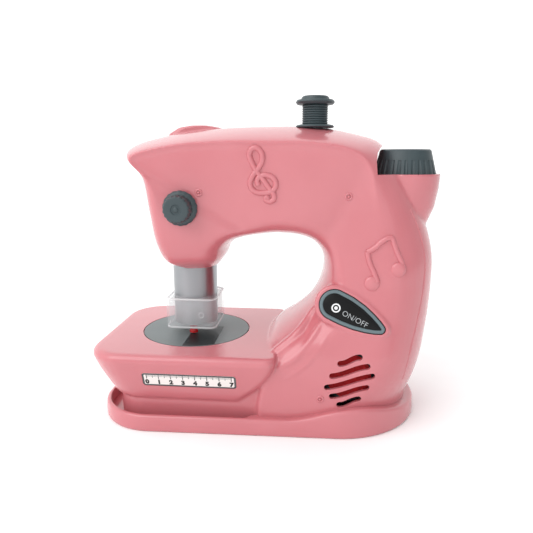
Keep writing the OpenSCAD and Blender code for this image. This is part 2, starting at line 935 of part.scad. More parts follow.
module motor_pinion() {
    color("#C9A55A") {
        at_xz(motor_x, motor_z)
            slab_y(gear_outline(pinion_teeth, pinion_turn), large_y, large_y + gear_t);
        rod_y(motor_x, motor_z, axle_d, large_y, plate_y + plate_t + shaft_depth - run_gap);
    }
}

// Fixed axles of the crank and idler, set in the frame plate
module drive_axles() {
    color(silver)
        for (g = [[needle_x, crank_z], [idler_x, idler_z]])
            rod_y(g.x, g.y, axle_d, crank_y - 0.8, plate_y + plate_t);
}

motor_d = 20;
motor_len = 13;
shaft_depth = 8;
module motor() {
    back = plate_y + plate_t;
    color(silver)
        difference() {
            union() {
                rod_y(motor_x, motor_z, motor_d, back, back + motor_len);
                rod_y(motor_x, motor_z, 6, back, back + motor_len + 1.5);
            }
            rod_y(motor_x, motor_z, axle_d + 2 * axle_gap, back - 1, back + shaft_depth);
        }
}

// Plate that carries the motor and the axles, screwed to posts of the rear half
frame_posts = [[-56, 140], [-56, 110], [-8, 140]];
frame_post_d = 7;
motor_cup = 1;
module gear_frame() {
    color("#3A3F42")
        difference() {
            union() {
                hull() {
                    for (f = frame_posts)
                        rod_y(f.x, f.y, frame_post_d, plate_y, plate_y + plate_t, $fn = 32);
                    rod_y(idler_x, idler_z - 4, frame_post_d, plate_y, plate_y + plate_t, $fn = 32);
                }
                rod_y(motor_x, motor_z, motor_d + 2 * motor_cup, plate_y, plate_y + plate_t + motor_len / 2);
            }
            rod_y(motor_x, motor_z, motor_d, plate_y + plate_t, plate_y + plate_t + motor_len);
            for (g = [[needle_x, crank_z], [idler_x, idler_z]])
                rod_y(g.x, g.y, axle_d, plate_y - 1, plate_y + plate_t + 1);
            rod_y(motor_x, motor_z, axle_d + 4, plate_y - 1, plate_y + plate_t + 1);
            for (f = frame_posts)
                rod_y(f.x, f.y, screw_d + 2 * fit_gap, plate_y - 1, plate_y + plate_t + 1);
            rod_y(screw_spots[0].x, screw_spots[0].y, boss_d + 2 * fit_gap,
                  plate_y - 1, plate_y + plate_t + 1);
        }
}

// Needle bar with the yoke that the crank pin runs in
yoke_half_w = crank_r + crank_pin_d / 2 + run_gap;
yoke_half_h = needle_stroke + crank_pin_d / 2 + run_gap;
yoke_z = crank_z - crank_r;
yoke_wall = 2;
yoke_t = 3;
needle_low = bed_top + 0.5;
tip_high = 50.4;
module needle_bar() {
    color("#ECE9E2") {
        translate([needle_x, -needle_front, tip_high - 2])
            cylinder(d = needle_d, h = yoke_z - yoke_half_h - yoke_wall / 2 - tip_high + 2);
        difference() {
            translate([needle_x - yoke_half_w - yoke_wall, -needle_front - yoke_t / 2,
                       yoke_z - yoke_half_h - yoke_wall])
                cube([2 * (yoke_half_w + yoke_wall), yoke_t, 2 * (yoke_half_h + yoke_wall)]);
            translate([needle_x - yoke_half_w, -needle_front - yoke_t, yoke_z - yoke_half_h])
                cube([2 * yoke_half_w, 2 * yoke_t, 2 * yoke_half_h]);
        }
    }
}

module needle_tip() {
    color("#C4161C")
        difference() {
            translate([needle_x, -needle_front, 0])
                rotate_extrude()
                    polygon([[0, needle_low], [2.6, needle_low], [2.6, needle_low + 1], [2, tip_high - 1.6],
                             [2.4, tip_high - 1], [2.4, tip_high], [0, tip_high]]);
            translate([needle_x, -needle_front, tip_high - 2])
                cylinder(d = needle_d, h = 5);
        }
}

// Front knob, its bush in the front half and the clip that holds it in
bush_d = 9;
knob_shaft_d = 4.8;
clip_y = -23;
bush_seat_y = clip_y - 3.4;
module tension_knob() {
    color(grey)
        translate([needle_x, 0, knob_z])
            rotate([90, 0, 0]) {
                translate([0, 0, -knob_y])
                    rotate_extrude($fn = 64)
                        polygon([[0, 0], [knob_flange_d / 2 - 0.6, 0], [knob_flange_d / 2, 0.6],
                                 [knob_flange_d / 2, 1.4], [knob_flange_d / 2 - 1.4, 2.8], [knob_d / 2, 3],
                                 [knob_d / 2, 2 + knob_len], [knob_d / 2 - 1, 3 + knob_len],
                                 [2, 3 + knob_len], [1.6, 2.4 + knob_len], [0, 2.4 + knob_len]]);
                translate([0, 0, -clip_y - 2])
                    cylinder(d = knob_shaft_d, h = clip_y - knob_y + 3);
            }
}
module knob_bush() {
    color("#3A3F42")
        difference() {
            union() {
                rod_y(needle_x, knob_z, bush_d, knob_y + run_gap, clip_y - run_gap);
                rod_y(needle_x, knob_z, bush_d + 4, bush_seat_y, clip_y - run_gap);
            }
            rod_y(needle_x, knob_z, knob_shaft_d + 2 * shaft_gap, -60, 0);
        }
}
module knob_clip() {
    color(silver)
        difference() {
            rod_y(needle_x, knob_z, bush_d, clip_y, clip_y + 0.8);
            rod_y(needle_x, knob_z, knob_shaft_d, clip_y - 1, clip_y + 2);
        }
}

// Hand wheel with its spindle, the bush in the cup's floor and the screw below it
wheel_shaft_d = 6;
bush_low = cup_floor_z - 7;
wheel_top_z = cup_rim_z + wheel_h;
flute_h = 8;
flute_d = 2.6;
flute_out = 0.5;
flute_lean = 11;
module hand_wheel() {
    color(grey)
        translate([wheel_x, 0, 0])
            difference() {
                union() {
                    rotate_extrude($fn = 64)
                        polygon([[0, wheel_low], [wheel_d / 2 - 0.6, wheel_low], [wheel_d / 2, wheel_low + 0.6],
                                 [wheel_d / 2, cup_rim_z], [wheel_top_d / 2 + 0.4, wheel_top_z - 0.8],
                                 [wheel_top_d / 2 - 0.4, wheel_top_z], [wheel_top_d / 2 - 3, wheel_top_z],
                                 [wheel_top_d / 2 - 4, wheel_top_z - 0.8], [0, wheel_top_z - 0.8]]);
                    translate([0, 0, bush_low - run_gap])
                        cylinder(d = wheel_shaft_d, h = wheel_low + 1 - bush_low + run_gap);
                }
                for (i = [0 : wheel_flutes - 1])
                    rotate([0, 0, 360 * (i + 0.5) / wheel_flutes])
                        translate([wheel_d / 2 + flute_out, 0, cup_rim_z])
                            rotate([0, -flute_lean, 0])
                                translate([0, 0, -2])
                                    cylinder(d = flute_d, h = flute_h + 2, $fn = 12);
                translate([0, 0, bush_low - run_gap - 1])
                    cylinder(d = screw_d, h = 8);
            }
}
module wheel_bush() {
    color("#3A3F42")
        translate([wheel_x, 0, 0])
            difference() {
                union() {
                    translate([0, 0, bush_low])
                        cylinder(d = bush_d, h = cup_floor_z - bush_low);
                    translate([0, 0, bush_low])
                        cylinder(d = bush_d + 4, h = cup_floor_z - wall - bush_low);
                }
                translate([0, 0, bush_low - 1])
                    cylinder(d = wheel_shaft_d + 2 * shaft_gap, h = 20);
            }
}
module wheel_screw() {
    color(silver)
        translate([wheel_x, 0, bush_low - run_gap]) {
            translate([0, 0, -1])
                cylinder(d = bush_d + 1, h = 1);
            translate([0, 0, -3])
                cylinder(d = screw_head_d, h = 2);
            cylinder(d = screw_d, h = 7);
        }
}

// Spool with moulded rings, turning on a pin through the arm's top
spool_h = 17.6;
spool_bore_d = pin_d + 2 * shaft_gap;
ring_pitch = (spool_h - 7.4) / spool_rings;
module at_spool() {
    translate([spool_x, 0, spool_z])
        children();
}
module spool() {
    rings = [for (i = [0 : spool_rings - 1])
        each [[spool_barrel_d / 2 - 0.5, 2.2 + ring_pitch * i],
              [spool_barrel_d / 2, 2.2 + ring_pitch * (i + 0.3)],
              [spool_barrel_d / 2, 2.2 + ring_pitch * (i + 0.7)]]];
    color(grey)
        at_spool()
            rotate_extrude($fn = 64)
                polygon(concat(
                    [[spool_bore_d / 2, 0], [spool_flange_d / 2 - 0.7, 0], [spool_flange_d / 2, 0.6],
                     [spool_flange_d / 2 - 0.7, 1.5]],
                    rings,
                    [[spool_barrel_d / 2 - 0.5, spool_h - 5], [spool_flange_d / 2 - 0.9, spool_h - 4.6],
                     [spool_flange_d / 2, spool_h - 3.4], [spool_flange_d / 2 - 0.8, spool_h - 2.2],
                     [spool_flange_d / 2 - 3, spool_h - 1.8], [spool_flange_d / 2 - 3.6, spool_h - 0.5],
                     [spool_flange_d / 2 - 4.4, spool_h], [0, spool_h],
                     [0, spool_h - 1.6], [spool_bore_d / 2, spool_h - 1.6]]));
}
module spool_pin() {
    color(silver)
        at_spool() {
            translate([0, 0, -pin_boss])
                cylinder(d = pin_d, h = spool_h + pin_boss - 1.6 - run_gap);
            translate([0, 0, -pin_boss - pin_flange])
                cylinder(d = pin_d + 5, h = pin_flange);
        }
}

// On/off button, sprung towards its face by the switch behind it
button_back = wall + 0.8;
stem_end = 9.4;
module on_off_button() {
    color("#6E7C80")
        at_button()
            difference() {
                union() {
                    leaf(0, -button_proud, button_back + 0.5);
                    leaf(button_flange, button_back, button_back + button_flange);
                    rod_y(0, 0, 5, button_back, stem_end);
                }
                leaf(-2, -button_proud - 1, -button_proud + 0.6);
            }
}
module button_label() {
    color("#101214")
        at_button()
            leaf(-2 - fit_gap / 2, -button_proud, -button_proud + 0.6);
}

board_y = 16;
board_t = 1.6;
module push_switch() {
    color(dark)
        at_button() {
            translate([-4, stem_end + button_travel + 1, -4])
                cube([8, board_y - stem_end - button_travel - 1, 8]);
            rod_y(0, 0, 3.4, stem_end + 0.1 + button_travel, stem_end + button_travel + 1.5);
        }
}
module circuit_board() {
    color("#2F6B3C")
        at_button()
            difference() {
                union() {
                    translate([-16.5, board_y, -12.5])
                        cube([31, board_t, 23]);
                    rod_y(-8, 4, 9, board_y + board_t - 0.1, board_y + board_t + 1.6);
                }
                for (h = board_holes)
                    rod_y(h.x, h.y, screw_d + 2 * fit_gap, board_y - 1, board_y + board_t + 1);
            }
}

// Speaker behind the grille, held by a ring
module at_speaker() {
    translate([vent_x, speaker_y, vent_z])
        rotate([-vent_tilt, 0, 0])
            rotate([-90, 0, 0])
                children();
}
cone_r = speaker_d * 0.38;
magnet_r = speaker_d * 0.32;
module speaker() {
    color("#1D1F21")
        at_speaker()
            rotate_extrude()
                polygon([[0, 2], [cone_r / 2, 2.4], [cone_r, 0.8], [cone_r + 1.4, 0], [speaker_d / 2, 0],
                         [speaker_d / 2, 2], [cone_r + 1, 2.4], [magnet_r, 6], [magnet_r, 9], [0, 9]]);
}
clamp_low = 2.4;
clamp_t = 1.6;
clamp_reach = speaker_d / 2 + 5;
module speaker_clamp() {
    color("#3A3F42")
        at_speaker()
            difference() {
                union() {
                    cylinder(d = speaker_d + 3, h = clamp_low + clamp_t);
                    for (x = [-1, 1])
                        translate([x * clamp_reach, 0, clamp_low])
                            cylinder(d = inner_post_d, h = clamp_t);
                    translate([-clamp_reach, -inner_post_d / 2, clamp_low])
                        cube([2 * clamp_reach, inner_post_d, clamp_t]);
                }
                translate([0, 0, -1])
                    cylinder(d = speaker_d + 2 * fit_gap, h = clamp_low + 1);
                cylinder(d = speaker_d - 3, h = 10);
                for (x = [-1, 1])
                    translate([x * clamp_reach, 0, 0])
                        cylinder(d = screw_d + 2 * fit_gap, h = 10);
            }
}

front_shell();
rear_shell();
base_tray();
battery_door();
battery_screw();
base_screws();
shell_screws();
inner_screws();
battery_cells();
battery_contacts();
throat_plate();
slide_plate();
scale_strip();
needle_sleeve();
needle_guard();
needle_bar();
needle_tip();
gear_frame();
drive_axles();
crank_gear();
idler_gear();
motor_pinion();
motor();
lamp();
tension_knob();
knob_bush();
knob_clip();
hand_wheel();
wheel_bush();
wheel_screw();
spool();
spool_pin();
on_off_button();
button_label();
push_switch();
circuit_board();
speaker();
speaker_clamp();
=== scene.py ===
"""Dresses the toy sewing machine: moulded shells, plinth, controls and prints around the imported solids."""

from __future__ import annotations

import logging
import math
from collections.abc import Sequence
from dataclasses import dataclass, field
from enum import Enum

import bmesh
import bpy
import numpy as np
from mathutils import Matrix, Vector
from mathutils.bvhtree import BVHTree


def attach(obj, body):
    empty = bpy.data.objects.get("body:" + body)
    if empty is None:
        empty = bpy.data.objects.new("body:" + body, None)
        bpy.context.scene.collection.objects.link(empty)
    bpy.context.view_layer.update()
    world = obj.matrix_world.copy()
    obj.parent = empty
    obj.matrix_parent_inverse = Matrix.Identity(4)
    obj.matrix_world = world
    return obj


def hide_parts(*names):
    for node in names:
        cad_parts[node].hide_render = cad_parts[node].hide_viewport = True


LOG = logging.getLogger("toy_sewing_machine")
MM = 0.001

# What all finishes share. A quarter turn makes the streaks of light upright.
TINT_STOPS = (0.3, 0.7)
BUMP_STRENGTH = 0.35
COAT_ROUGHNESS = 0.08
STREAK_TURN = 0.25
GLOW_RADIUS = (0.004, 0.0015, 0.001)
GLOW_SCALE = 0.5

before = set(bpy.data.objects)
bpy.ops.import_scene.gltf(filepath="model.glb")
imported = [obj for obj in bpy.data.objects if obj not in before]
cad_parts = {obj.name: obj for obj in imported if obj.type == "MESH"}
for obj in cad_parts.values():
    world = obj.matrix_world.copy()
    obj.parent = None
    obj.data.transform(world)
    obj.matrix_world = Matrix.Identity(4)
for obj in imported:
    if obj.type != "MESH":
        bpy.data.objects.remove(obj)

Point2 = tuple[float, float]
Point3 = tuple[float, float, float]


def linear(code: str) -> tuple[float, float, float, float]:
    """Turns an sRGB hex value into linear red, green, blue and alpha.

    Args:
        code: Six hex digits after a hash sign.

    Returns:
        The linear colour with alpha 1.
    """
    parts = [int(code[i : i + 2], 16) / 255 for i in (1, 3, 5)]
    red, green, blue = (c / 12.92 if c <= 0.04045 else ((c + 0.055) / 1.055) ** 2.4 for c in parts)
    return red, green, blue, 1.0


def add_node(
    tree: bpy.types.NodeTree,
    kind: str,
    settings: dict | None = None,
    **links: object,
) -> bpy.types.Node:
    """Adds one shader node.

    Args:
        tree: The material's node tree.
        kind: The node's type name.
        settings: Node properties, or input values under the input's own name.
        links: Input names, with underscores for spaces, and the sockets that feed them.

    Returns:
        The new node.
    """
    node = tree.nodes.new(kind)
    for key, value in (settings or {}).items():
        if hasattr(node, key):
            setattr(node, key, value)
        else:
            node.inputs[key].default_value = value
    for key, socket in links.items():
        tree.links.new(socket, node.inputs[key.replace("_", " ")])
    return node


@dataclass(frozen=True)
class Finish:
    """A surface with a base colour that wavers a little, a fine grain and its gloss.

    The grain is drawn coarser than the tool marks of the real pieces, which are too fine to show.
    """

    name: str
    colour: str
    shade: str
    roughness: float
    rough_swing: float = 0.06
    cloud_mm: float = 30.0
    grain_mm: float = 0.6
    grain_depth_mm: float = 0.01
    metallic: float = 0.0
    ior: float = 1.5
    coat: float = 0.0
    transmission: float = 0.0
    subsurface: float = 0.0
    streak: float = 0.0
    alpha: float = 1.0
    stretch: Point3 = (1.0, 1.0, 1.0)

    def material(self) -> bpy.types.Material:
        """Makes the finish's material at its first use.

        Returns:
            The material.
        """
        found = bpy.data.materials.get(self.name)
        if found:
            return found
        made = bpy.data.materials.new(self.name)
        made.use_nodes = True
        tree = made.node_tree
        tree.nodes.clear()
        place = add_node(tree, "ShaderNodeTexCoord")
        spread = add_node(tree, "ShaderNodeMapping", {"Scale": self.stretch}, Vector=place.outputs["Object"])
        cloud = add_node(
            tree,
            "ShaderNodeTexNoise",
            {"Scale": 1 / (self.cloud_mm * MM), "Detail": 3.0},
            Vector=spread.outputs["Vector"],
        )
        grain = add_node(
            tree,
            "ShaderNodeTexNoise",
            {"Scale": 1 / (self.grain_mm * MM), "Detail": 2.0},
            Vector=spread.outputs["Vector"],
        )
        tint = add_node(tree, "ShaderNodeValToRGB", Fac=cloud.outputs["Fac"])
        for number, colour in enumerate((self.shade, self.colour)):
            stop = tint.color_ramp.elements[number]
            stop.position = TINT_STOPS[number]
            stop.color = linear(colour)
        swing = self.rough_swing / 2
        gloss = add_node(
            tree,
            "ShaderNodeMapRange",
            {"To Min": self.roughness - swing, "To Max": self.roughness + swing},
            Value=grain.outputs["Fac"],
        )
        bump = add_node(
            tree,
            "ShaderNodeBump",
            {"Strength": BUMP_STRENGTH, "Distance": self.grain_depth_mm * MM},
            Height=grain.outputs["Fac"],
        )
        settings = {
            "Metallic": self.metallic,
            "IOR": self.ior,
            "Coat Weight": self.coat,
            "Coat Roughness": COAT_ROUGHNESS,
            "Transmission Weight": self.transmission,
            "Alpha": self.alpha,
            "Anisotropic": self.streak,
            "Anisotropic Rotation": STREAK_TURN,
            "Subsurface Weight": self.subsurface,
            "Subsurface Radius": GLOW_RADIUS,
            "Subsurface Scale": GLOW_SCALE,
        }
        shader = add_node(
            tree,
            "ShaderNodeBsdfPrincipled",
            settings,
            Base_Color=tint.outputs["Color"],
            Roughness=gloss.outputs["Result"],
            Normal=bump.outputs["Normal"],
        )
        add_node(tree, "ShaderNodeOutputMaterial", Surface=shader.outputs["BSDF"])
        return made


# Injection-moulded ABS from a polished tool: an even colour with soft, fairly sharp highlights.
PINK_ABS = Finish(
    "pink_moulded_abs", "#C6747B", "#C37077", 0.25, coat=0.4, subsurface=0.05, grain_depth_mm=0.0015
)
# ABS from an eroded tool: a fine grain that spreads the highlight.
SLATE_ABS = Finish("slate_eroded_abs", "#38464A", "#344044", 0.44, grain_mm=0.7, grain_depth_mm=0.04)
# Screen-painted plate: flat colour with a soft sheen.
GREY_PAINT = Finish("grey_painted_plate", "#687172", "#626B6C", 0.4)
# Moulded dark plastic for the slide and the hidden fittings: nearly black, with a satin sheen.
DARK_ABS = Finish("dark_moulded_abs", "#182022", "#151C1E", 0.36)
# Vacuum-metallised plastic: a bright skin, whose faint streaks draw the light into an upright band.
SILVER_SKIN = Finish(
    "silver_metallised_skin",
    "#A8AAAD",
    "#999B9E",
    0.34,
    metallic=1.0,
    streak=0.9,
    grain_depth_mm=0.004,
    stretch=(1.0, 1.0, 0.06),
)
# Clear polystyrene: a faintly milky, see-through wall with a polished face.
CLEAR_PS = Finish(
    "clear_polystyrene",
    "#DCE0E2",
    "#D6DBDE",
    0.07,
    rough_swing=0.03,
    ior=1.45,
    alpha=0.2,
    grain_depth_mm=0.002,
)
# The same plastic drawn whiter, as a painted highlight: it stands for the light that the wall gathers where
# it is seen edge on.
CLEAR_EDGE_HIGHLIGHT = Finish("clear_polystyrene_painted_highlight", "#EEF0F1", "#E8EBEC", 0.1, rough_swing=0.03, alpha=0.4)
# Moulded polystyrene: a strong red with a sharp small highlight.
RED_PS = Finish("red_moulded_polystyrene", "#CC1A20", "#BC1218", 0.22)
# Moulded ABS rim: a blue grey with a satin sheen.
BUTTON_ABS = Finish("button_rim_abs", "#64757A", "#5B6B70", 0.34)
# Gloss vinyl label: black, with a weak broad shine.
LABEL_VINYL = Finish("black_gloss_vinyl", "#0B0C0E", "#08090A", 0.34, ior=1.3)
# Screen-printed inks: flat and dull.
WHITE_INK = Finish("white_screen_ink", "#EDEFEF", "#E4E7E7", 0.5)
GREY_INK = Finish("pale_grey_screen_ink", "#B4B9BB", "#ACB1B3", 0.5)
# Its dark grey also draws the painted shade of the strip's recess, as a band round the strip's edge.
TICK_INK_AND_PAINTED_SHADE = Finish("dark_grey_ink_and_painted_shade", "#4A4D50", "#45484B", 0.5)
BLACK_INK = Finish("black_screen_ink", "#121415", "#0E1011", 0.5)
# Woven cloth over the speaker: dull and dark red through the slots.
RED_CLOTH = Finish("red_speaker_cloth", "#C81A22", "#A81219", 0.8, cloud_mm=3.0, grain_depth_mm=0.05)
# Printed vinyl strip: a warm white with a low shine.
STRIP_VINYL = Finish("white_printed_vinyl", "#ECE8E5", "#E6E1DE", 0.34)
# Moulded nylon: a milky white that light enters a little.
NYLON = Finish("natural_nylon", "#EBE8DF", "#E3E0D6", 0.45, subsurface=0.1)
# Drawn steel: grey metal with fine long streaks.
STEEL = Finish("drawn_steel", "#BDC1C4", "#A9AEB1", 0.32, metallic=1.0, stretch=(1.0, 1.0, 0.1))
# Turned brass: yellow metal with a clear shine.
BRASS = Finish("turned_brass", "#C9A55A", "#B9934A", 0.3, metallic=1.0)
# Printed film round a cell: a golden tone with a slight gleam.
CELL_SLEEVE = Finish("printed_cell_sleeve", "#CBA540", "#BF9834", 0.35, metallic=0.3)
# Lacquered circuit board: a deep green with a satin sheen.
BOARD = Finish("lacquered_board", "#2F6B3C", "#285E34", 0.4)
# Cast lens of the lamp: a warm white that lets light through.
LENS = Finish("lamp_lens", "#F6F2E8", "#F0EBDD", 0.15, transmission=0.4)
# Matt paper sweep: plain white without a shine.
FLOOR_PAPER = Finish("white_paper_sweep", "#FFFFFF", "#FDFDFD", 0.9, grain_mm=4.0)


def link(name: str, data: bpy.types.ID) -> bpy.types.Object:
    """Makes an object and links it to the scene.

    Args:
        name: The object's name.
        data: Its mesh, curve, light or camera.

    Returns:
        The linked object.
    """
    made = bpy.data.objects.new(name, data)
    bpy.context.scene.collection.objects.link(made)
    return made


def make_object(
    name: str,
    points: Sequence,
    faces: Sequence,
    finish: Finish | None = None,
) -> bpy.types.Object:
    """Makes a mesh object from millimetres.

    Args:
        name: The object's name.
        points: Corner places in millimetres.
        faces: Corner numbers of each face.
        finish: The surface, if it shows.

    Returns:
        The linked object, in metres.
    """
    mesh = bpy.data.meshes.new(name)
    mesh.from_pydata((np.asarray(points, float) * MM).tolist(), [], [list(f) for f in faces])
    made = link(name, mesh)
    shaper = bmesh.new()
    shaper.from_mesh(mesh)
    bmesh.ops.recalc_face_normals(shaper, faces=shaper.faces)
    shaper.to_mesh(mesh)
    shaper.free()
    if finish:
        mesh.materials.append(finish.material())
    return made


def rings_to_faces(count: int, size: int, capped: bool = True) -> list[tuple[int, ...]]:
    """Lists the faces that join rings of points in order.

    Args:
        count: Number of rings.
        size: Points in each ring.
        capped: True closes the first and last ring.

    Returns:
        Faces as corner numbers.
    """
    faces: list[tuple[int, ...]] = []
    for i in range(count - 1):
        for k in range(size):
            n = (k + 1) % size
            faces.append((i * size + k, i * size + n, (i + 1) * size + n, (i + 1) * size + k))
    if capped:
        faces.append(tuple(range(size)))
        faces.append(tuple((count - 1) * size + k for k in reversed(range(size))))
    return faces


def loft_rings(
    name: str,
    rings: Sequence[np.ndarray],
    finish: Finish | None = None,
    capped: bool = True,
) -> bpy.types.Object:
    """Joins rings of points into one skin.

    Args:
        name: The object's name.
        rings: Rings in order, each with as many points, in millimetres.
        finish: The surface, if it shows.
        capped: True closes the first and last ring.

    Returns:
        The lofted object.
    """
    return make_object(name, np.vstack(rings), rings_to_faces(len(rings), len(rings[0]), capped), finish)


def full_turn(count: int) -> np.ndarray:
    """Returns angles evenly spaced round one turn, in radians."""
    return np.linspace(0, 2 * math.pi, count, endpoint=False)


def level_ring(plan: np.ndarray, z: float | Sequence[float]) -> np.ndarray:
    """Returns an X-Y plan's points at one height, or each at its own."""
    return np.c_[plan, np.broadcast_to(z, len(plan))]


def upright_ring(outline: np.ndarray, y: float) -> np.ndarray:
    """Returns an X-Z outline's points at one depth."""
    return np.c_[outline[:, 0], np.full(len(outline), y), outline[:, 1]]


def lathe(
    name: str,
    profile: Sequence[Point2],
    segments: int,
    finish: Finish | None = None,
) -> bpy.types.Object:
    """Turns a profile of radius and height about Z.

    Args:
        name: The object's name.
        profile: Radius and height pairs in millimetres, from axis to axis or closed on itself.
        segments: Steps round the turn.
        finish: The surface, if it shows.

    Returns:
        The turned object at the origin.
    """
    angles = full_turn(segments)
    circle = np.c_[np.cos(angles), np.sin(angles)]
    return loft_rings(name, [level_ring(radius * circle, height) for radius, height in profile], finish)


def prism(
    name: str,
    outline: Sequence[Point2],
    low: float,
    high: float,
    finish: Finish | None = None,
) -> bpy.types.Object:
    """Stretches an X-Z outline along Y.

    Args:
        name: The object's name.
        outline: Corners along X and Z in millimetres.
        low: First Y in millimetres.
        high: Second Y in millimetres.
        finish: The surface, if it shows.

    Returns:
        The prism.
    """
    plan = np.asarray(outline, float)
    return loft_rings(name, [upright_ring(plan, y) for y in (low, high)], finish)


def settle(obj: bpy.types.Object) -> bpy.types.Object:
    """Applies an object's modifiers and place to its mesh.

    Args:
        obj: The object.

    Returns:
        The same object with a plain mesh.
    """
    bpy.context.view_layer.update()
    graph = bpy.context.evaluated_depsgraph_get()
    mesh = bpy.data.meshes.new_from_object(obj.evaluated_get(graph))
    mesh.transform(obj.matrix_world)
    obj.modifiers.clear()
    obj.data = mesh
    obj.matrix_world = Matrix.Identity(4)
    return obj


def stand_on_face(obj: bpy.types.Object, centre: Point3, lean_deg: float) -> bpy.types.Object:
    """Moves a piece from a sloped face's own frame to its place on the body.

    Args:
        obj: The piece.
        centre: The face's centre in millimetres.
        lean_deg: How far the face leans about X.

    Returns:
        The piece, with its place applied to its mesh.
    """
    turn = Matrix.Rotation(math.radians(lean_deg), 4, "X")
    obj.matrix_world = Matrix.Translation(Vector(centre) * MM) @ turn @ obj.matrix_world
    return settle(obj)


class Cut(Enum):
    """How one solid works on another."""

    AWAY = "DIFFERENCE"
    KEEP = "INTERSECT"


def carve(
    obj: bpy.types.Object,
    tool: bpy.types.Object,
    how: Cut,
    keep_tool: bool = False,
) -> bpy.types.Object:
    """Works one closed solid with another.

    Args:
        obj: The solid that is worked.
        tool: The other solid.
        how: Take away the tool's space, or keep what they share.
        keep_tool: True leaves the tool in the scene.

    Returns:
        The worked solid.
    """
    step = obj.modifiers.new("carve", "BOOLEAN")
    step.operation = how.value
    step.solver = "MANIFOLD"
    step.object = tool
    settle(obj)
    if not keep_tool:
        bpy.data.objects.remove(tool)
    return obj


def fuse(name: str, solids: Sequence[bpy.types.Object], voxel_mm: float, passes: int) -> bpy.types.Object:
    """Melts overlapping solids into one skin with soft inside corners.

    Args:
        name: The new object's name.
        solids: Closed solids, which are used up.
        voxel_mm: Cell size of the new skin.
        passes: Smoothing passes.

    Returns:
        One closed object.
    """
    shaper = bmesh.new()
    for solid in solids:
        settle(solid)
        shaper.from_mesh(solid.data)
        bpy.data.objects.remove(solid)
    mesh = bpy.data.meshes.new(name)
    shaper.to_mesh(mesh)
    shaper.free()
    made = link(name, mesh)
    skin = made.modifiers.new("skin", "REMESH")
    skin.mode = "VOXEL"
    skin.voxel_size = voxel_mm * MM
    soften = made.modifiers.new("soften", "SMOOTH")
    soften.factor = 0.5
    soften.iterations = passes
    return settle(made)


def show(obj: bpy.types.Object, body: str, angle_deg: float = 40.0) -> bpy.types.Object:
    """Shades a piece smoothly and lets it ride on a body.

    Args:
        obj: The piece.
        body: The body that carries it.
        angle_deg: Edges sharper than this stay crisp.

    Returns:
        The piece.
    """
    obj.data.shade_smooth()
    obj.data.set_sharp_from_angle(angle=math.radians(angle_deg))
    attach(obj, body)
    LOG.info("piece %s on %s: %d faces", obj.name, body, len(obj.data.polygons))
    return obj


def rounded_rectangle(
    left: float,
    right: float,
    half: float,
    left_r: float,
    right_r: float,
    steps: int = 10,
) -> np.ndarray:
    """Plans a block with rounded corners.

    Args:
        left: Lowest X.
        right: Highest X.
        half: Half of the depth.
        left_r: Corner radius at the left.
        right_r: Corner radius at the right.
        steps: Steps in each corner.

    Returns:
        Points along X and Y, in order.
    """
    corners = (
        (right - right_r, half - right_r, right_r, 0),
        (left + left_r, half - left_r, left_r, 90),
        (left + left_r, left_r - half, left_r, 180),
        (right - right_r, right_r - half, right_r, 270),
    )
    points = []
    for x, y, radius, start in corners:
        for k in range(steps + 1):
            a = math.radians(start + 90 * k / steps)
            points.append((x + radius * math.cos(a), y + radius * math.sin(a)))
    return np.array(points)


def hull_outline(
    circles: Sequence[tuple[float, float, float]],
    grow: float,
    steps: int = 180,
) -> np.ndarray:
    """Draws the taut band round some circles.

    Args:
        circles: Centre and radius of each circle.
        grow: How far the band stands off.
        steps: Directions round the band.

    Returns:
        Points in order.
    """
    centres = np.array(circles)
    points = []
    for a in full_turn(steps):
        way = np.array((math.cos(a), math.sin(a)))
        reach = centres[:, :2] @ way + centres[:, 2]
        best = centres[int(np.argmax(reach))]
        points.append(best[:2] + way * (best[2] + grow))
    return np.array(points)


def resample(outline: np.ndarray, count: int) -> np.ndarray:
    """Spaces points evenly along a closed outline.

    Args:
        outline: Points in order.
        count: Number of new points.

    Returns:
        The new points, starting at the same place.
    """
    closed = np.vstack([outline, outline[:1]])
    lengths = np.r_[0, np.cumsum(np.linalg.norm(np.diff(closed, axis=0), axis=1))]
    places = np.linspace(0, lengths[-1], count, endpoint=False)
    return np.c_[np.interp(places, lengths, closed[:, 0]), np.interp(places, lengths, closed[:, 1])]


def curve_mesh(curve: bpy.types.Curve) -> bpy.types.Mesh:
    """Turns a curve into a mesh and removes the curve.

    Args:
        curve: A curve with a bevel, or a line of type.

    Returns:
        The new mesh.
    """
    holder = link(curve.name, curve)
    bpy.context.view_layer.update()
    mesh = bpy.data.meshes.new_from_object(holder.evaluated_get(bpy.context.evaluated_depsgraph_get()))
    bpy.data.objects.remove(holder)
    bpy.data.curves.remove(curve)
    return mesh


def tube(
    name: str,
    path: Sequence[Point3],
    radius: float,
    swell: Sequence[float] | None = None,
) -> bpy.types.Object:
    """Makes a closed round rod along a smooth path.

    Args:
        name: The object's name.
        path: Places in millimetres.
        radius: The rod's radius in millimetres.
        swell: Share of the radius at each place.

    Returns:
        The rod as a mesh object.
    """
    curve = bpy.data.curves.new(name, "CURVE")
    curve.dimensions = "3D"
    curve.bevel_depth = radius * MM
    curve.bevel_resolution = 5
    curve.use_fill_caps = True
    curve.resolution_u = 8
    line = curve.splines.new("BEZIER")
    line.bezier_points.add(len(path) - 1)
    for k, place in enumerate(path):
        knot = line.bezier_points[k]
        knot.co = Vector(place) * MM
        knot.radius = swell[k] if swell else 1.0
        knot.handle_left_type = knot.handle_right_type = "AUTO"
    mesh = curve_mesh(curve)
    mesh.materials.clear()
    return link(name, mesh)


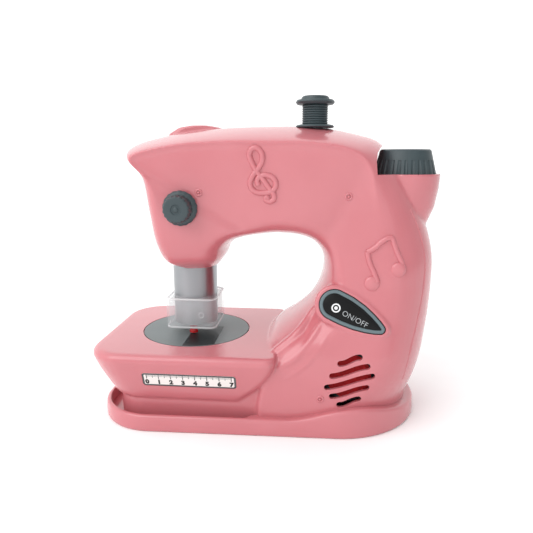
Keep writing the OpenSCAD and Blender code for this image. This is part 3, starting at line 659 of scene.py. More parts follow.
def letter_mesh(words: str, height_mm: float, weight_mm: float) -> tuple[np.ndarray, list[tuple[int, ...]]]:
    """Turns generic words or digits into flat faces.

    Args:
        words: What is printed.
        height_mm: Size of the type.
        weight_mm: How much thicker the strokes are drawn.

    Returns:
        Centred points in millimetres and the faces.
    """
    curve = bpy.data.curves.new("type_setting", "FONT")
    curve.body = words
    curve.align_x = "CENTER"
    curve.align_y = "CENTER"
    curve.size = height_mm
    curve.offset = weight_mm
    curve.resolution_u = 4
    mesh = curve_mesh(curve)
    points = np.array([v.co[:2] for v in mesh.vertices])
    faces = [tuple(p.vertices) for p in mesh.polygons]
    bpy.data.meshes.remove(mesh)
    return points, faces


@dataclass
class MouldedBody:
    """The two pink halves: head, arm, column, cup and bed.

    Each row of stations gives one section of the head, arm or column: X and Z of its outer edge, X and Z
    of its inner edge, half of its depth, the outer edge's rounding and power, the inner edge's rounding,
    and the brim.
    """

    wall: float = 2.0
    bed_top: float = 44.7
    bed_low: float = 17.0
    bed_half: float = 51.0
    bed_left: float = -99.8
    bed_right: float = 8.5
    bed_lean: float = 8.0
    bed_end_lean: float = 11.0
    bed_sweep: float = 18.5
    end_power: float = 1.3
    sweep_power: float = 1.7
    bed_levels: int = 9
    bed_edge: float = 4.0
    edge_levels: int = 6
    bed_corner: float = 22.0
    bed_right_corner: float = 5.0
    pedestal_left: float = -86.0
    pedestal_right: float = 24.0
    pedestal_half: float = 42.0
    pedestal_corner: float = 18.0
    pedestal_rise: float = 3.0
    heel_x: Point2 = (-12.0, 2.0)
    heel_z: Point2 = (16.0, 23.5)
    foot_low: float = 2.8
    inner_power: float = 2.4
    brim_run: float = 4.5
    brim_share: float = 0.7
    hollow_start: float = 0.175
    skin_steps: int = 10
    hollow_steps: int = 4
    skin_mm: float = 0.75
    skin_passes: int = 2
    wheel_x: float = 79.8
    wheel_bush_r: float = 4.7
    wheel_bush_len: float = 8.0
    cup_floor: float = 128.0
    cup_rim: float = 142.6
    cup_inner: float = 18.0
    needle_x: float = -45.0
    throat_r: float = 33.6
    throat_t: float = 1.6
    throat_clear: float = 5.0
    sleeve_r: float = 13.7
    sleeve_hole: Point2 = (80.0, 96.0)
    spool_x: float = 27.7
    spool_seat: float = 168.0
    spool_seat_r: float = 11.6
    spool_pin_r: float = 2.2
    spool_pin_len: float = 12.0
    spool_clear: float = 10.0
    knob_z: float = 124.4
    knob_bush_r: float = 4.7
    knob_bush_steps: int = 32
    knob_bush_y: Point2 = (-45.0, -20.0)
    far: Point3 = (150.0, 100.0, 250.0)
    notch_half: float = 60.0
    notch: tuple[Point2, ...] = (
        (61.4, 142.6),
        (61.0, 149.6),
        (62.0, 154.2),
        (64.4, 157.0),
        (66.3, 158.2),
        (67.3, 178.3),
        (120, 178.3),
        (120, 142.6),
    )
    bowl: tuple[Point2, ...] = (
        (0, 102),
        (6, 103.5),
        (10.5, 108),
        (13.8, 114),
        (17.6, 123.5),
        (19.4, 134),
        (20, 142.6),
        (0, 142.6),
    )
    mound_y: float = 10.0
    mound_points: int = 64
    mound_levels: tuple[tuple[float, ...], ...] = (
        (150, -56, -28, 8),
        (165.6, -56, -28, 5.2),
        (169.3, -50, -34.5, 5.1),
        (170.5, -43, -41, 5),
    )
    pleat_depth: float = 2.65
    pleat_r: float = 3.2
    pleat_swell: tuple[float, ...] = (0.35, 0.9, 1.0, 0.9, 0.35)
    pleats: tuple[tuple[Point2, ...], ...] = (
        ((33.5, 72.5), (29.0, 64.5), (20.0, 53.5), (9.5, 45.0), (4.0, 40.0)),
        ((37.0, 66.5), (32.0, 57.5), (22.0, 45.5), (10.5, 37.0), (5.0, 31.0)),
        ((41.0, 60.5), (35.0, 51.5), (25.0, 40.0), (14.0, 31.5), (8.0, 25.0)),
    )
    stations: tuple[tuple[float, ...], ...] = (
        (-53, 86.5, -30, 87.5, 15, 9, 2.2, 9, 0),
        (-60.5, 92, -25.5, 93.5, 25, 11, 2.4, 11, 0),
        (-65.5, 104, -23, 99.5, 29, 12, 2.4, 11, 0),
        (-68, 122, -18, 104, 30.5, 12, 2.4, 11, 0),
        (-71.5, 143, -10, 106.6, 31, 12, 2.2, 11, 0.3),
        (-81.6, 156.4, -2, 107.9, 30.4, 10.5, 1.4, 11, 1),
        (-60, 164, 3, 108.4, 31, 10, 1.25, 11, 1.1),
        (-30, 168, 6, 108.5, 31.5, 9.5, 1.25, 11, 1.1),
        (0, 169.2, 10, 108.4, 32, 9.5, 1.25, 11, 1.1),
        (28, 168.8, 18, 107.8, 32, 9.5, 1.25, 11, 1.1),
        (52, 164.5, 26, 105.5, 31, 10, 1.35, 11, 1.1),
        (66, 159, 31, 101.5, 29.6, 16, 1.6, 11, 0.8),
        (80, 142, 33.8, 96.5, 29.5, 26, 2, 11, 0),
        (92, 117, 34.6, 90, 31, 30, 2, 12, 0),
        (97.4, 98, 33.8, 83, 33, 30, 2, 15, 0),
        (98, 82, 30.8, 74.6, 34.5, 30, 2, 20, 0),
        (97.2, 65, 25, 66, 37, 31, 2, 26, 0),
        (95.6, 51, 15.5, 57.6, 40.5, 32, 2, 28, 0),
        (94, 40, 5, 49.5, 43.5, 33, 2, 22, 0),
        (91.2, 28, -3, 36, 45.2, 37, 2, 12, 0),
        (87, 15, -5, 18, 45, 44, 2, 6, 0),
        (85.4, 4, -5, 4, 45, 46, 2, 6, 0),
        (84.5, 0, -5, 0, 45, 46, 2, 6, 0),
    )
    surface: BVHTree | None = field(default=None, init=False)

    def station(self, place: float) -> np.ndarray:
        """Reads the smooth row of section sizes.

        Args:
            place: Station number, with a fraction between stations.

        Returns:
            The section's sizes there.
        """
        rows = np.array(self.stations)
        last = len(rows) - 1
        i = min(int(place), last - 1)
        t = place - i
        a, b, c, d = (rows[min(max(i + k, 0), last)] for k in (-1, 0, 1, 2))
        square = 2 * a - 5 * b + 4 * c - d
        cubic = 3 * b - a - 3 * c + d
        return 0.5 * (2 * b + (c - a) * t + square * t**2 + cubic * t**3)

    def section(self, place: float, inset: float, steps: int = 16) -> np.ndarray:
        """Makes one closed section of the head, arm or column.

        Args:
            place: Station number, with a fraction between stations.
            inset: How far the section is drawn in.
            steps: Steps in each quarter.

        Returns:
            Points round the section.
        """
        sizes = self.station(place)
        outer, inner = sizes[0:2], sizes[2:4]
        half_depth, outer_round, outer_power, inner_round, brim = sizes[4:]
        reach = np.linalg.norm(inner - outer)
        along = (inner - outer) / reach
        start = outer + along * inset
        span, depth = reach - 2 * inset, half_depth - inset
        edge, face = outer_round - inset / 2, depth - brim
        angles = np.linspace(0, math.pi / 2, steps + 1)
        cosine, sine = np.clip(np.cos(angles), 0, 1), np.clip(np.sin(angles), 0, 1)
        bend = 2 / outer_power
        near = np.c_[edge * (1 - cosine**bend), depth * sine**bend]
        bend = 2 / self.inner_power
        far = np.c_[span - (inner_round - inset / 2) * (1 - cosine**bend), face * sine**bend][::-1]
        lip = [(edge + self.brim_run / 3, depth - self.brim_share * brim), (edge + self.brim_run, face)]
        front = np.vstack([near, lip, far])
        back = front[1:-1][::-1] * (1, -1)
        rows = np.vstack([front, back])
        return np.c_[start[0] + along[0] * rows[:, 0], -rows[:, 1], start[1] + along[1] * rows[:, 0]]

    def frame_solid(self, inset: float, steps: int) -> bpy.types.Object:
        """Lofts the head, arm and column.

        Args:
            inset: How far it is drawn in, for the hollow.
            steps: Sections from one station to the next.

        Returns:
            A closed solid.
        """
        last = len(self.stations) - 1
        first = self.hollow_start * inset
        count = last * steps
        rings = [self.section(first + (last - first) * i / count, inset) for i in range(count + 1)]
        return loft_rings("frame_loft", rings)

    def bed_solid(self, inset: float) -> bpy.types.Object:
        """Stacks the bed's rounded plans from its lower edge to its top.

        Args:
            inset: How far it is drawn in, for the hollow.

        Returns:
            A closed solid.
        """
        height = self.bed_top - self.bed_edge - self.bed_low
        levels = []
        for t in np.linspace(1, 0, self.bed_levels):
            share = t * (1 - inset / height)
            z = self.bed_low + inset + (1 - t) * (height - 2 * inset)
            end = self.bed_end_lean * share**self.end_power
            levels.append((z, end, self.bed_lean * share, self.bed_sweep * share**self.sweep_power))
        for k in range(1, self.edge_levels + 1):
            a = math.radians(90 * k / self.edge_levels)
            drawn = self.bed_edge * (1 - math.cos(a))
            levels.append((self.bed_top - inset - self.bed_edge * (1 - math.sin(a)), drawn, drawn, 0))
        rings = []
        for z, end, side, sweep in levels:
            plan = rounded_rectangle(
                self.bed_left + end + inset,
                self.bed_right - sweep - inset,
                self.bed_half - side - inset,
                self.bed_corner - side / 2,
                self.bed_right_corner,
            )
            rings.append(level_ring(plan, z))
        return loft_rings("bed_loft", rings)

    def pedestal_solid(self, inset: float) -> bpy.types.Object:
        """Makes the block that carries the bed inside the plinth's rim.

        Args:
            inset: How far it is drawn in, for the hollow.

        Returns:
            A closed solid.
        """
        corner = self.pedestal_corner
        half = self.pedestal_half - inset
        plan = rounded_rectangle(self.pedestal_left + inset, self.pedestal_right, half, corner, corner)
        levels = (self.foot_low - inset, self.bed_low + self.pedestal_rise - inset)
        return loft_rings("pedestal_block", [level_ring(plan, z) for z in levels])

    def turned(self, name: str, profile: Sequence[Point2], x: float, segments: int = 96) -> bpy.types.Object:
        """Turns a profile and stands it at an X place.

        Args:
            name: The object's name.
            profile: Radius and height pairs.
            x: Place along X in millimetres.
            segments: Steps round the turn.

        Returns:
            The turned solid.
        """
        made = lathe(name, profile, segments)
        made.location.x = x * MM
        return settle(made)

    def drum(self, x: float, radius: float, low: float, high: float) -> bpy.types.Object:
        """Returns an upright drum for cutting, at an X place."""
        return self.turned("cut_drum", ((0, low), (radius, low), (radius, high), (0, high)), x)

    def block(self, low: Point3, high: Point3) -> bpy.types.Object:
        """Returns a box for cutting, from its lowest to its highest corner."""
        outline = ((low[0], low[2]), (high[0], low[2]), (high[0], high[2]), (low[0], high[2]))
        return prism("cut_block", outline, low[1], high[1])

    def mound(self) -> bpy.types.Object:
        """Makes the low dome on the rear half of the roof.

        Returns:
            A closed solid.
        """
        rings = []
        for z, left, right, radius in self.mound_levels:
            ends = ((left, self.mound_y, radius), (right, self.mound_y, radius))
            rings.append(level_ring(hull_outline(ends, 0, self.mound_points), z))
        return loft_rings("roof_mound", rings)

    def look_at(self, obj: bpy.types.Object) -> None:
        """Keeps an object's skin for on_front."""
        self.surface = BVHTree.FromObject(obj, bpy.context.evaluated_depsgraph_get())

    def on_front(self, x: float, z: float) -> float:
        """Finds the front skin.

        Args:
            x: Place along X in millimetres.
            z: Place along Z in millimetres.

        Returns:
            Y of the front skin in millimetres.
        """
        hit = self.surface.ray_cast(Vector((x * MM, -0.2, z * MM)), Vector((0, 1, 0)))[0]
        return hit.y / MM

    def folds(self) -> list[bpy.types.Object]:
        """Makes the soft ridges that run from the column's neck to the bed.

        Returns:
            One rod for each ridge, partly under the front skin.
        """
        made = []
        for path in self.pleats:
            points = [(x, self.on_front(x, z) + self.pleat_depth, z) for x, z in path]
            made.append(tube("pleat_rod", points, self.pleat_r, self.pleat_swell))
        return made

    def keep_outs(self) -> list[bpy.types.Object]:
        """Makes the solids round the cup, the notch and the throat plate that the hollow leaves full.

        Returns:
            The solids.
        """
        thick = self.wall
        grown = [(x - thick, z - thick) for x, z in self.notch]
        seat = self.bed_top - self.throat_t
        above_all = 190
        return [
            self.drum(self.wheel_x, self.cup_inner + thick, self.cup_floor - thick, above_all),
            prism("notch_wall", grown, -self.notch_half, self.notch_half),
            self.drum(self.needle_x, self.throat_r + thick, seat - thick, seat + self.throat_clear),
        ]

    def seats(self) -> list[bpy.types.Object]:
        """Makes the solids of the seats and holes that both halves share.

        Returns:
            The cutting solids.
        """
        throat = self.bed_top - self.throat_t
        spool_top = self.spool_seat + self.spool_clear
        far_x, far_y, _ = self.far
        return [
            prism("wheel_notch", self.notch, -self.notch_half, self.notch_half),
            self.drum(self.wheel_x, self.cup_inner, self.cup_floor, self.cup_rim + 1),
            self.drum(self.wheel_x, self.wheel_bush_r, self.cup_floor - self.wheel_bush_len, self.cup_rim),
            self.drum(self.needle_x, self.throat_r, throat, throat + self.throat_clear),
            self.drum(self.needle_x, self.sleeve_r, *self.sleeve_hole),
            self.drum(self.spool_x, self.spool_seat_r, self.spool_seat, spool_top),
            self.drum(self.spool_x, self.spool_pin_r, self.spool_seat - self.spool_pin_len, spool_top),
            self.block((-far_x, -far_y, -50), (far_x, far_y, self.foot_low)),
        ]

    def outer_skin(self, extra: Sequence[bpy.types.Object]) -> bpy.types.Object:
        """Melts the body's outer forms into one skin.

        Args:
            extra: Solids that are moulded on.

        Returns:
            The skin as one full solid.
        """
        loft = self.frame_solid(0, self.skin_steps)
        self.look_at(loft)
        bowl = self.turned("cup_bowl", self.bowl, self.wheel_x)
        heel = self.block(
            (self.heel_x[0], -self.pedestal_half, self.heel_z[0]),
            (self.heel_x[1], self.pedestal_half, self.heel_z[1]),
        )
        solids = [loft, self.bed_solid(0), self.pedestal_solid(0), heel, bowl, self.mound()]
        skin = fuse("body_skin", [*solids, *self.folds(), *extra], self.skin_mm, self.skin_passes)
        skin.data.materials.append(PINK_ABS.material())
        return skin

    def build(self, extra: Sequence[bpy.types.Object], cuts: Sequence[bpy.types.Object]) -> None:
        """Makes both halves and lets them stand for the CAD shells.

        Args:
            extra: Solids that are moulded on.
            cuts: Solids that are cut out of the front half.
        """
        skin = self.outer_skin(extra)
        for tool in self.seats():
            carve(skin, tool, Cut.AWAY)
        thick = self.wall
        hollows = [
            self.frame_solid(thick, self.hollow_steps),
            self.bed_solid(thick),
            self.pedestal_solid(thick),
        ]
        for tool in self.keep_outs():
            for hollow in hollows:
                carve(hollow, tool, Cut.AWAY, True)
            bpy.data.objects.remove(tool)
        for hollow in hollows:
            carve(skin, hollow, Cut.AWAY)
        far_x, far_y, far_z = self.far
        for name, low, high in (("front_shell", -far_y, 0), ("rear_shell", 0, far_y)):
            half = link(f"{name}_fine", skin.data.copy())
            carve(half, self.block((-far_x, low, -10), (far_x, high, far_z)), Cut.KEEP)
            if low < 0:
                for tool in cuts:
                    carve(half, tool, Cut.AWAY)
                carve(half, self.bush_hole(), Cut.AWAY)
                self.look_at(half)
            show(half, "housing", 32)
            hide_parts(name)
        bpy.data.objects.remove(skin)

    def bush_hole(self) -> bpy.types.Object:
        """Makes the solid of the hole for the knob's bush.

        Returns:
            The cutting solid.
        """
        turn = np.arange(self.knob_bush_steps) * math.pi / (self.knob_bush_steps // 2)
        across, up = self.knob_bush_r * np.cos(turn), self.knob_bush_r * np.sin(turn)
        return prism("bush_hole", np.c_[self.needle_x + across, self.knob_z + up], *self.knob_bush_y)


@dataclass
class Plinth:
    """The oval tray under the body, with its waved rim and battery bay.

    The edges' rows give an inset, and a height over the ground or a drop below the rim.
    """

    floor: float = 2.8
    rim_low: float = 9.6
    rim_high: float = 17.0
    wave_start: float = 14.0
    wave_end: float = 94.0
    rim_wall: float = 2.8
    inner_drop: float = 0.3
    ledge: float = 7.0
    ledge_x: float = -6.0
    ledge_blend: float = 6.0
    ring_points: int = 300
    lower_edge: tuple[Point2, ...] = ((1.2, 0.0), (0.6, 0.25), (0.2, 0.8), (0.0, 1.7), (0.1, 5.0))
    upper_edge: tuple[Point2, ...] = (
        (0.3, 2.4),
        (0.45, 1.3),
        (0.8, 0.55),
        (1.4, 0.15),
        (2.0, 0.0),
        (2.5, 0.0),
    )
    circles: tuple[tuple[float, float, float], ...] = ((41.5, 0, 50), (-64, 19, 33), (-64, -19, 33))
    bay: tuple[Point3, Point3] = ((-74.5, -15.6, -1), (-19.5, 15.6, 20))
    door: tuple[Point3, Point3] = ((-77.5, -18.6, -1), (-6.5, 18.6, 1.8))
    screw_hole_r: float = 1.65
    screw_hole_top: float = 8.0
    screw_seat_r: float = 3.2
    feet: tuple[Point2, ...] = ((-62, 37.8), (-62, -37.8), (22, 41.6), (22, -41.6), (79.2, 14), (79.2, -14))

    def rim(self, x: float) -> float:
        """Reads the rim's height.

        Args:
            x: Place along X in millimetres.

        Returns:
            The height in millimetres.
        """
        share = min(max((x - self.wave_start) / (self.wave_end - self.wave_start), 0), 1)
        return self.rim_low + (self.rim_high - self.rim_low) * (1 - math.cos(2 * math.pi * share)) / 2

    def plan(self, inset: float) -> np.ndarray:
        """Returns the tray's evenly spaced plan, drawn in by an inset."""
        return resample(hull_outline(self.circles, -inset), self.ring_points)

    def inner_plan(self) -> np.ndarray:
        """Plans the inside of the rim, which widens to a ledge under the column.

        Returns:
            Points along X and Y, in order.
        """
        thin, wide = self.plan(self.rim_wall), self.plan(self.ledge)
        share = np.clip((thin[:, :1] - self.ledge_x + self.ledge_blend / 2) / self.ledge_blend, 0, 1)
        return thin + (wide - thin) * share * share * (3 - 2 * share)

    def build(self, body: MouldedBody) -> None:
        """Makes the tray and lets it stand for the CAD tray.

        Args:
            body: The moulded body, whose cutting tools are used.
        """
        rings = [level_ring(self.plan(inset), z) for inset, z in self.lower_edge]
        for inset, drop in self.upper_edge:
            plan = self.plan(inset)
            rings.append(level_ring(plan, [self.rim(x) - drop for x in plan[:, 0]]))
        inner = self.inner_plan()
        rings.append(level_ring(inner, [self.rim(x) - self.inner_drop for x in inner[:, 0]]))
        rings.append(level_ring(inner, self.floor))
        tray = loft_rings("plinth_tray", rings, PINK_ABS)
        carve(tray, body.block(*self.bay), Cut.AWAY)
        carve(tray, body.block(*self.door), Cut.AWAY)
        drums = ((self.screw_hole_r, self.screw_hole_top), (self.screw_seat_r, self.floor / 2))
        for x, y in self.feet:
            for radius, top in drums:
                hole = body.drum(x, radius, -1, top)
                hole.location.y = y * MM
                carve(tray, hole, Cut.AWAY)
        show(tray, "housing", 35)
        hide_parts("base_tray")


@dataclass
class PushButton:
    """The leaf-shaped on/off button with its dark label.

    The rows give how far the leaf's outline grows, and its depth along the button's own Y.
    """

    centre: Point3 = (52.0, -37.2, 66.5)
    tilt_deg: float = 14.0
    circles: tuple[tuple[float, float, float], ...] = (
        (-11.5, 6.5, 8.3),
        (-5.5, 3.6, 8.2),
        (0.5, 0.5, 7.3),
        (6.0, -2.4, 5.7),
        (10.4, -4.7, 4.0),
        (13.4, -6.2, 2.5),
    )
    proud: float = 0.9
    back: float = 2.8
    back_edge: float = 0.2
    rim_rows: tuple[Point2, ...] = (
        (0, -0.3),
        (-0.25, -0.72),
        (-0.8, -0.9),
        (-1.5, -0.88),
        (-1.9, -0.7),
        (-2.0, -0.3),
    )
    face_rows: tuple[Point2, ...] = ((-2.05, -0.3), (-2.1, -0.8), (-2.3, -0.9))
    lip_rows: tuple[Point2, ...] = (
        (2.4, 6.8),
        (2.8, 6.0),
        (2.8, 0.2),
        (2.4, -0.5),
        (1.7, -0.9),
        (1.0, -0.9),
        (-2, -0.9),
    )
    opening_rows: tuple[Point2, ...] = ((0.4, -5.0), (0.4, 4.9))
    ink_lift: float = 0.03
    mark_at: Point2 = (-10.7, 4.8)
    mark_radii: Point3 = (2.5, 1.75, 0.95)
    mark_steps: int = 48
    words_at: Point2 = (-0.4, -1.1)
    words_mm: float = 4.2
    words_weight_mm: float = -0.05
    words_slope_deg: float = 27.0

    def placed(self, obj: bpy.types.Object) -> bpy.types.Object:
        """Moves a piece from the button's own frame to its place."""
        return stand_on_face(obj, self.centre, -self.tilt_deg)

    def stack(self, name: str, rows: Sequence[Point2], finish: Finish | None = None) -> bpy.types.Object:
        """Stacks leaf outlines.

        Args:
            name: The object's name.
            rows: Growth and Y of each outline, in millimetres.
            finish: The surface, if it shows.

        Returns:
            The placed solid.
        """
        rings = [upright_ring(hull_outline(self.circles, grow), y) for grow, y in rows]
        return self.placed(loft_rings(name, rings, finish))

    def surround(self) -> bpy.types.Object:
        """Returns the raised lip of the shell round the button."""
        return self.stack("button_lip", self.lip_rows)

    def opening(self) -> bpy.types.Object:
        """Returns the solid of the opening that the button moves in."""
        return self.stack("button_opening", self.opening_rows)

    def ink(self, name: str, points: np.ndarray, faces: Sequence, finish: Finish) -> None:
        """Lays a flat print on the label.

        Args:
            name: The object's name.
            points: Places along the face's X and Z in millimetres.
            faces: Corner numbers.
            finish: The ink.
        """
        made = make_object(name, upright_ring(points, -self.proud - self.ink_lift), faces, finish)
        show(self.placed(made), "button")

    def mark(self) -> None:
        """Prints the ring and its dot."""
        steps = self.mark_steps
        angles = full_turn(steps)
        circle = np.c_[np.cos(angles), np.sin(angles)]
        middle = np.array(self.mark_at)
        outer, inner, dot = (middle + circle * radius for radius in self.mark_radii)
        self.ink("label_ring", np.vstack([outer, inner]), rings_to_faces(2, steps, False), WHITE_INK)
        self.ink("label_dot", dot, [tuple(range(steps))], WHITE_INK)

    def words(self) -> None:
        """Prints the switch's words along the leaf."""
        points, faces = letter_mesh("ON/OFF", self.words_mm, self.words_weight_mm)
        a = math.radians(-self.words_slope_deg)
        turn = np.array(((math.cos(a), math.sin(a)), (-math.sin(a), math.cos(a))))
        self.ink("label_words", points @ turn + np.array(self.words_at), faces, GREY_INK)

    def build(self) -> None:
        """Makes the button, its label and its prints."""
        rows = ((-self.back_edge, self.back), (0, self.back - self.back_edge), *self.rim_rows)
        body = self.stack("button_body", rows, BUTTON_ABS)
        show(body, "button")
        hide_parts("on_off_button")
        label = self.stack("button_face", self.face_rows, LABEL_VINYL)
        show(label, "button")
        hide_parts("button_label")
        self.mark()
        self.words()


@dataclass
class RulerStrip:
    """The light strip on the bed's front with ticks and digits.

    Each tick's size is its length and its width.
    """

    centre: Point3 = (-39.3, -47.32, 29.8)
    lean_deg: float = 18.65
    width: float = 53.0
    height: float = 8.8
    corner: float = 1.6
    corner_steps: int = 6
    face: float = 0.04
    underside: float = 1.0
    seat_gap: float = 0.2
    seat_y: Point2 = (-4.0, 1.1)
    print_lift: float = 0.02
    border_insets: Point2 = (0.02, 0.95)
    step: float = 6.86
    first: float = -24.0
    last_digit: int = 7
    tick_margin: float = 0.9
    whole_tick: Point2 = (2.8, 0.5)
    half_tick: Point2 = (2.0, 0.38)
    tenth_tick: Point2 = (1.4, 0.2)
    digit_mm: float = 4.0
    digit_weight_mm: float = 0.28
    digit_z: float = -1.7

    def placed(self, obj: bpy.types.Object) -> bpy.types.Object:
        """Moves a piece from the strip's own frame to the bed's front."""
        return stand_on_face(obj, self.centre, self.lean_deg)

    def outline(self, grow: float) -> np.ndarray:
        """Draws the strip's rounded outline.

        Args:
            grow: How far it is drawn out.

        Returns:
            Points along X and Z, in order.
        """
        half = self.width / 2 + grow
        corner = self.corner + grow
        return rounded_rectangle(-half, half, self.height / 2 + grow, corner, corner, self.corner_steps)

    def recess(self) -> bpy.types.Object:
        """Returns the solid of the strip's seat in the bed."""
        return self.placed(prism("strip_seat", self.outline(self.seat_gap), *self.seat_y))

    def lay(self, name: str, points: np.ndarray, faces: Sequence, finish: Finish) -> None:
        """Lays one print on the strip.

        Args:
            name: The object's name.
            points: Places along X and Z in millimetres.
            faces: Corner numbers.
            finish: The ink.
        """
        made = make_object(name, upright_ring(points, self.face - self.print_lift), faces, finish)
        show(self.placed(made), "housing")

    def tick_size(self, number: int) -> Point2:
        """Picks a tick's size.

        Args:
            number: The tick's number from zero, in tenths of a step.

        Returns:
            Its length and width in millimetres.
        """
        if number % 10 == 0:
            return self.whole_tick
        return self.half_tick if number % 5 == 0 else self.tenth_tick

    def ticks(self) -> None:
        """Prints all ticks as one piece."""
        points, faces = [], []
        top = self.height / 2 - self.tick_margin
        for k in range(10 * self.last_digit + 1):
            x = self.first + self.step * k / 10
            long, wide = self.tick_size(k)
            left, right = x - wide / 2, x + wide / 2
            start = len(points)
            points += [(left, top), (right, top), (right, top - long), (left, top - long)]
            faces.append(tuple(range(start, start + 4)))
        self.lay("ruler_ticks", np.array(points), faces, TICK_INK_AND_PAINTED_SHADE)

    def build(self) -> None:
        """Makes the strip, a dark border of painted recess shade, ticks and digits."""
        strip = self.placed(prism("ruler_strip", self.outline(0), self.face, self.underside, STRIP_VINYL))
        show(strip, "housing")
        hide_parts("scale_strip")
        # A dark band round the strip's edge: painted shade of its recess.
        outer, inner = (self.outline(-inset) for inset in self.border_insets)
        shade_faces = rings_to_faces(2, len(outer), False)
        self.lay("ruler_painted_recess_shade", np.vstack([outer, inner]), shade_faces, TICK_INK_AND_PAINTED_SHADE)
        self.ticks()
        for digit in range(self.last_digit + 1):
            points, faces = letter_mesh(str(digit), self.digit_mm, self.digit_weight_mm)
            points = points + np.array((self.first + self.step * digit, self.digit_z))
            self.lay(f"ruler_digit_{digit}", points, faces, BLACK_INK)


@dataclass
class NeedleGuard:
    """The clear square cap round the needle."""

    x: float = -45.0
    half_w: float = 15.6
    half_d: float = 16.5
    low: float = 49.5
    high: float = 68.5
    wall: float = 1.5
    corner: float = 4.5
    least_corner: float = 0.6
    corner_steps: int = 12
    hole: float = 13.6
    foot_edge: float = 0.3
    top_edge: tuple[Point2, ...] = ((0, 1.4), (0.2, 0.7), (0.7, 0.2), (1.4, 0))
    inner_edge: Point2 = (0.4, 0.5)
    weld_m: float = 1e-7
    edge_r: float = 0.6
    gate_at: Point2 = (6.8, 9.0)
    gate_r: float = 1.5
    gate_rod_r: float = 0.25
    gate_knots: int = 25

    def plan(self, inset: float) -> np.ndarray:
        """Draws the guard's rounded plan.

        Args:
            inset: How far it is drawn in.

        Returns:
            Points along X and Y, in order.
        """
        radius = max(self.corner - inset, self.least_corner)
        half_w, half_d = self.half_w - inset, self.half_d - inset
        flat = rounded_rectangle(-self.half_w + inset, half_w, half_d, radius, radius, self.corner_steps)
        return flat + (self.x, 0)

    def rings(self) -> list[np.ndarray]:
        """Draws the guard's wall as rings: up the outside, through the top's hole and down the inside.

        Returns:
            The rings, the last the same as the first.
        """
        under_top = self.high - self.wall
        rows = [(self.foot_edge, self.low), (0, self.low + self.foot_edge)]
        rows += [(inset, self.high - drop) for inset, drop in self.top_edge]
        rings = [level_ring(self.plan(inset), z) for inset, z in rows]
        square = self.plan(self.top_edge[-1][0]) - (self.x, 0)
        way = square / np.linalg.norm(square, axis=1)[:, None]
        for z in (self.high, under_top):
            rings.append(level_ring(way * self.hole + (self.x, 0), z))
        run, drop = self.inner_edge
        inside = ((self.wall + run, under_top), (self.wall, under_top - drop), (self.wall, self.low))
        rings += [level_ring(self.plan(inset), z) for inset, z in inside]
        return [*rings, rings[0]]

    def build(self) -> None:
        """Makes the guard's thin clear walls and its top with the sleeve's hole."""
        guard = loft_rings("clear_guard", self.rings(), CLEAR_PS, False)
        shaper = bmesh.new()
        shaper.from_mesh(guard.data)
        bmesh.ops.remove_doubles(shaper, verts=shaper.verts, dist=self.weld_m)
        bmesh.ops.recalc_face_normals(shaper, faces=shaper.faces)
        shaper.to_mesh(guard.data)
        shaper.free()
        show(guard, "housing", 50)
        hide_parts("needle_guard")
        self.edges()

    def rod(self, name: str, path: Sequence[Point3], radius: float) -> None:
        """Lays a rod of the whiter plastic into the wall, as a painted highlight.

        Args:
            name: The object's name.
            path: Places in millimetres.
            radius: The rod's radius.
        """
        made = tube(name, path, radius)
        # The whiter plastic is a painted highlight.
        made.data.materials.append(CLEAR_EDGE_HIGHLIGHT.material())
        show(made, "housing", 60)

    def edges(self) -> None:
        """Lays painted highlights round the guard's top and bottom edges, and the small gate mark in the
        same whiter plastic.
        """
        middle = self.wall / 2
        for number, z in enumerate((self.low + middle, self.high - middle)):
            loop = [(x, y, z) for x, y in self.plan(middle)]
            self.rod(f"guard_painted_highlight_{number}", [*loop, loop[0]], self.edge_r)
        x, z = self.x + self.gate_at[0], self.low + self.gate_at[1]
        turn = np.linspace(0, 2 * math.pi, self.gate_knots)
        gate = [(x + self.gate_r * math.cos(a), -self.half_d, z + self.gate_r * math.sin(a)) for a in turn]
        self.rod("guard_gate_mark", gate, self.gate_rod_r)


@dataclass
class FrontKnob:
    """The round knob on the head, with soft flutes on its grip and flange.

    The rows give a radius, how far it stands out, and how deep the flutes are there.
    """

    x: float = -45.0
    y: float = -31.2
    z: float = 124.4
    flutes: int = 18
    segments: int = 216
    rows: tuple[tuple[float, float, float], ...] = (
        (0, -10.2, 0),
        (2.4, -10.2, 0),
        (2.4, 0, 0),
        (9.2, 0, 0.1),
        (9.7, 0.4, 0.25),
        (9.8, 1.4, 0.25),
        (9.2, 2.2, 0.15),
        (8.2, 2.9, 0),
        (7.6, 3.1, 0.3),
        (7.6, 9.0, 0.45),
        (7.35, 9.8, 0.4),
        (6.8, 10.3, 0.2),
        (6.0, 10.5, 0),
        (2.8, 10.4, 0),
        (2.5, 10.0, 0),
        (1.6, 9.9, 0),
        (1.3, 10.3, 0),
        (0.7, 10.55, 0),
        (0, 10.6, 0),
    )

    def build(self) -> None:
        """Turns the knob and cuts its flutes."""
        turn = full_turn(self.segments)
        wave = (1 + np.cos(self.flutes * turn)) / 2
        rings = []
        for radius, out, flute in self.rows:
            reach = radius - flute * wave
            outline = np.c_[self.x + reach * np.cos(turn), self.z + reach * np.sin(turn)]
            rings.append(upright_ring(outline, self.y - out))
        knob = loft_rings("fluted_knob", rings, SLATE_ABS)
        show(knob, "knob", 35)
        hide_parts("tension_knob")


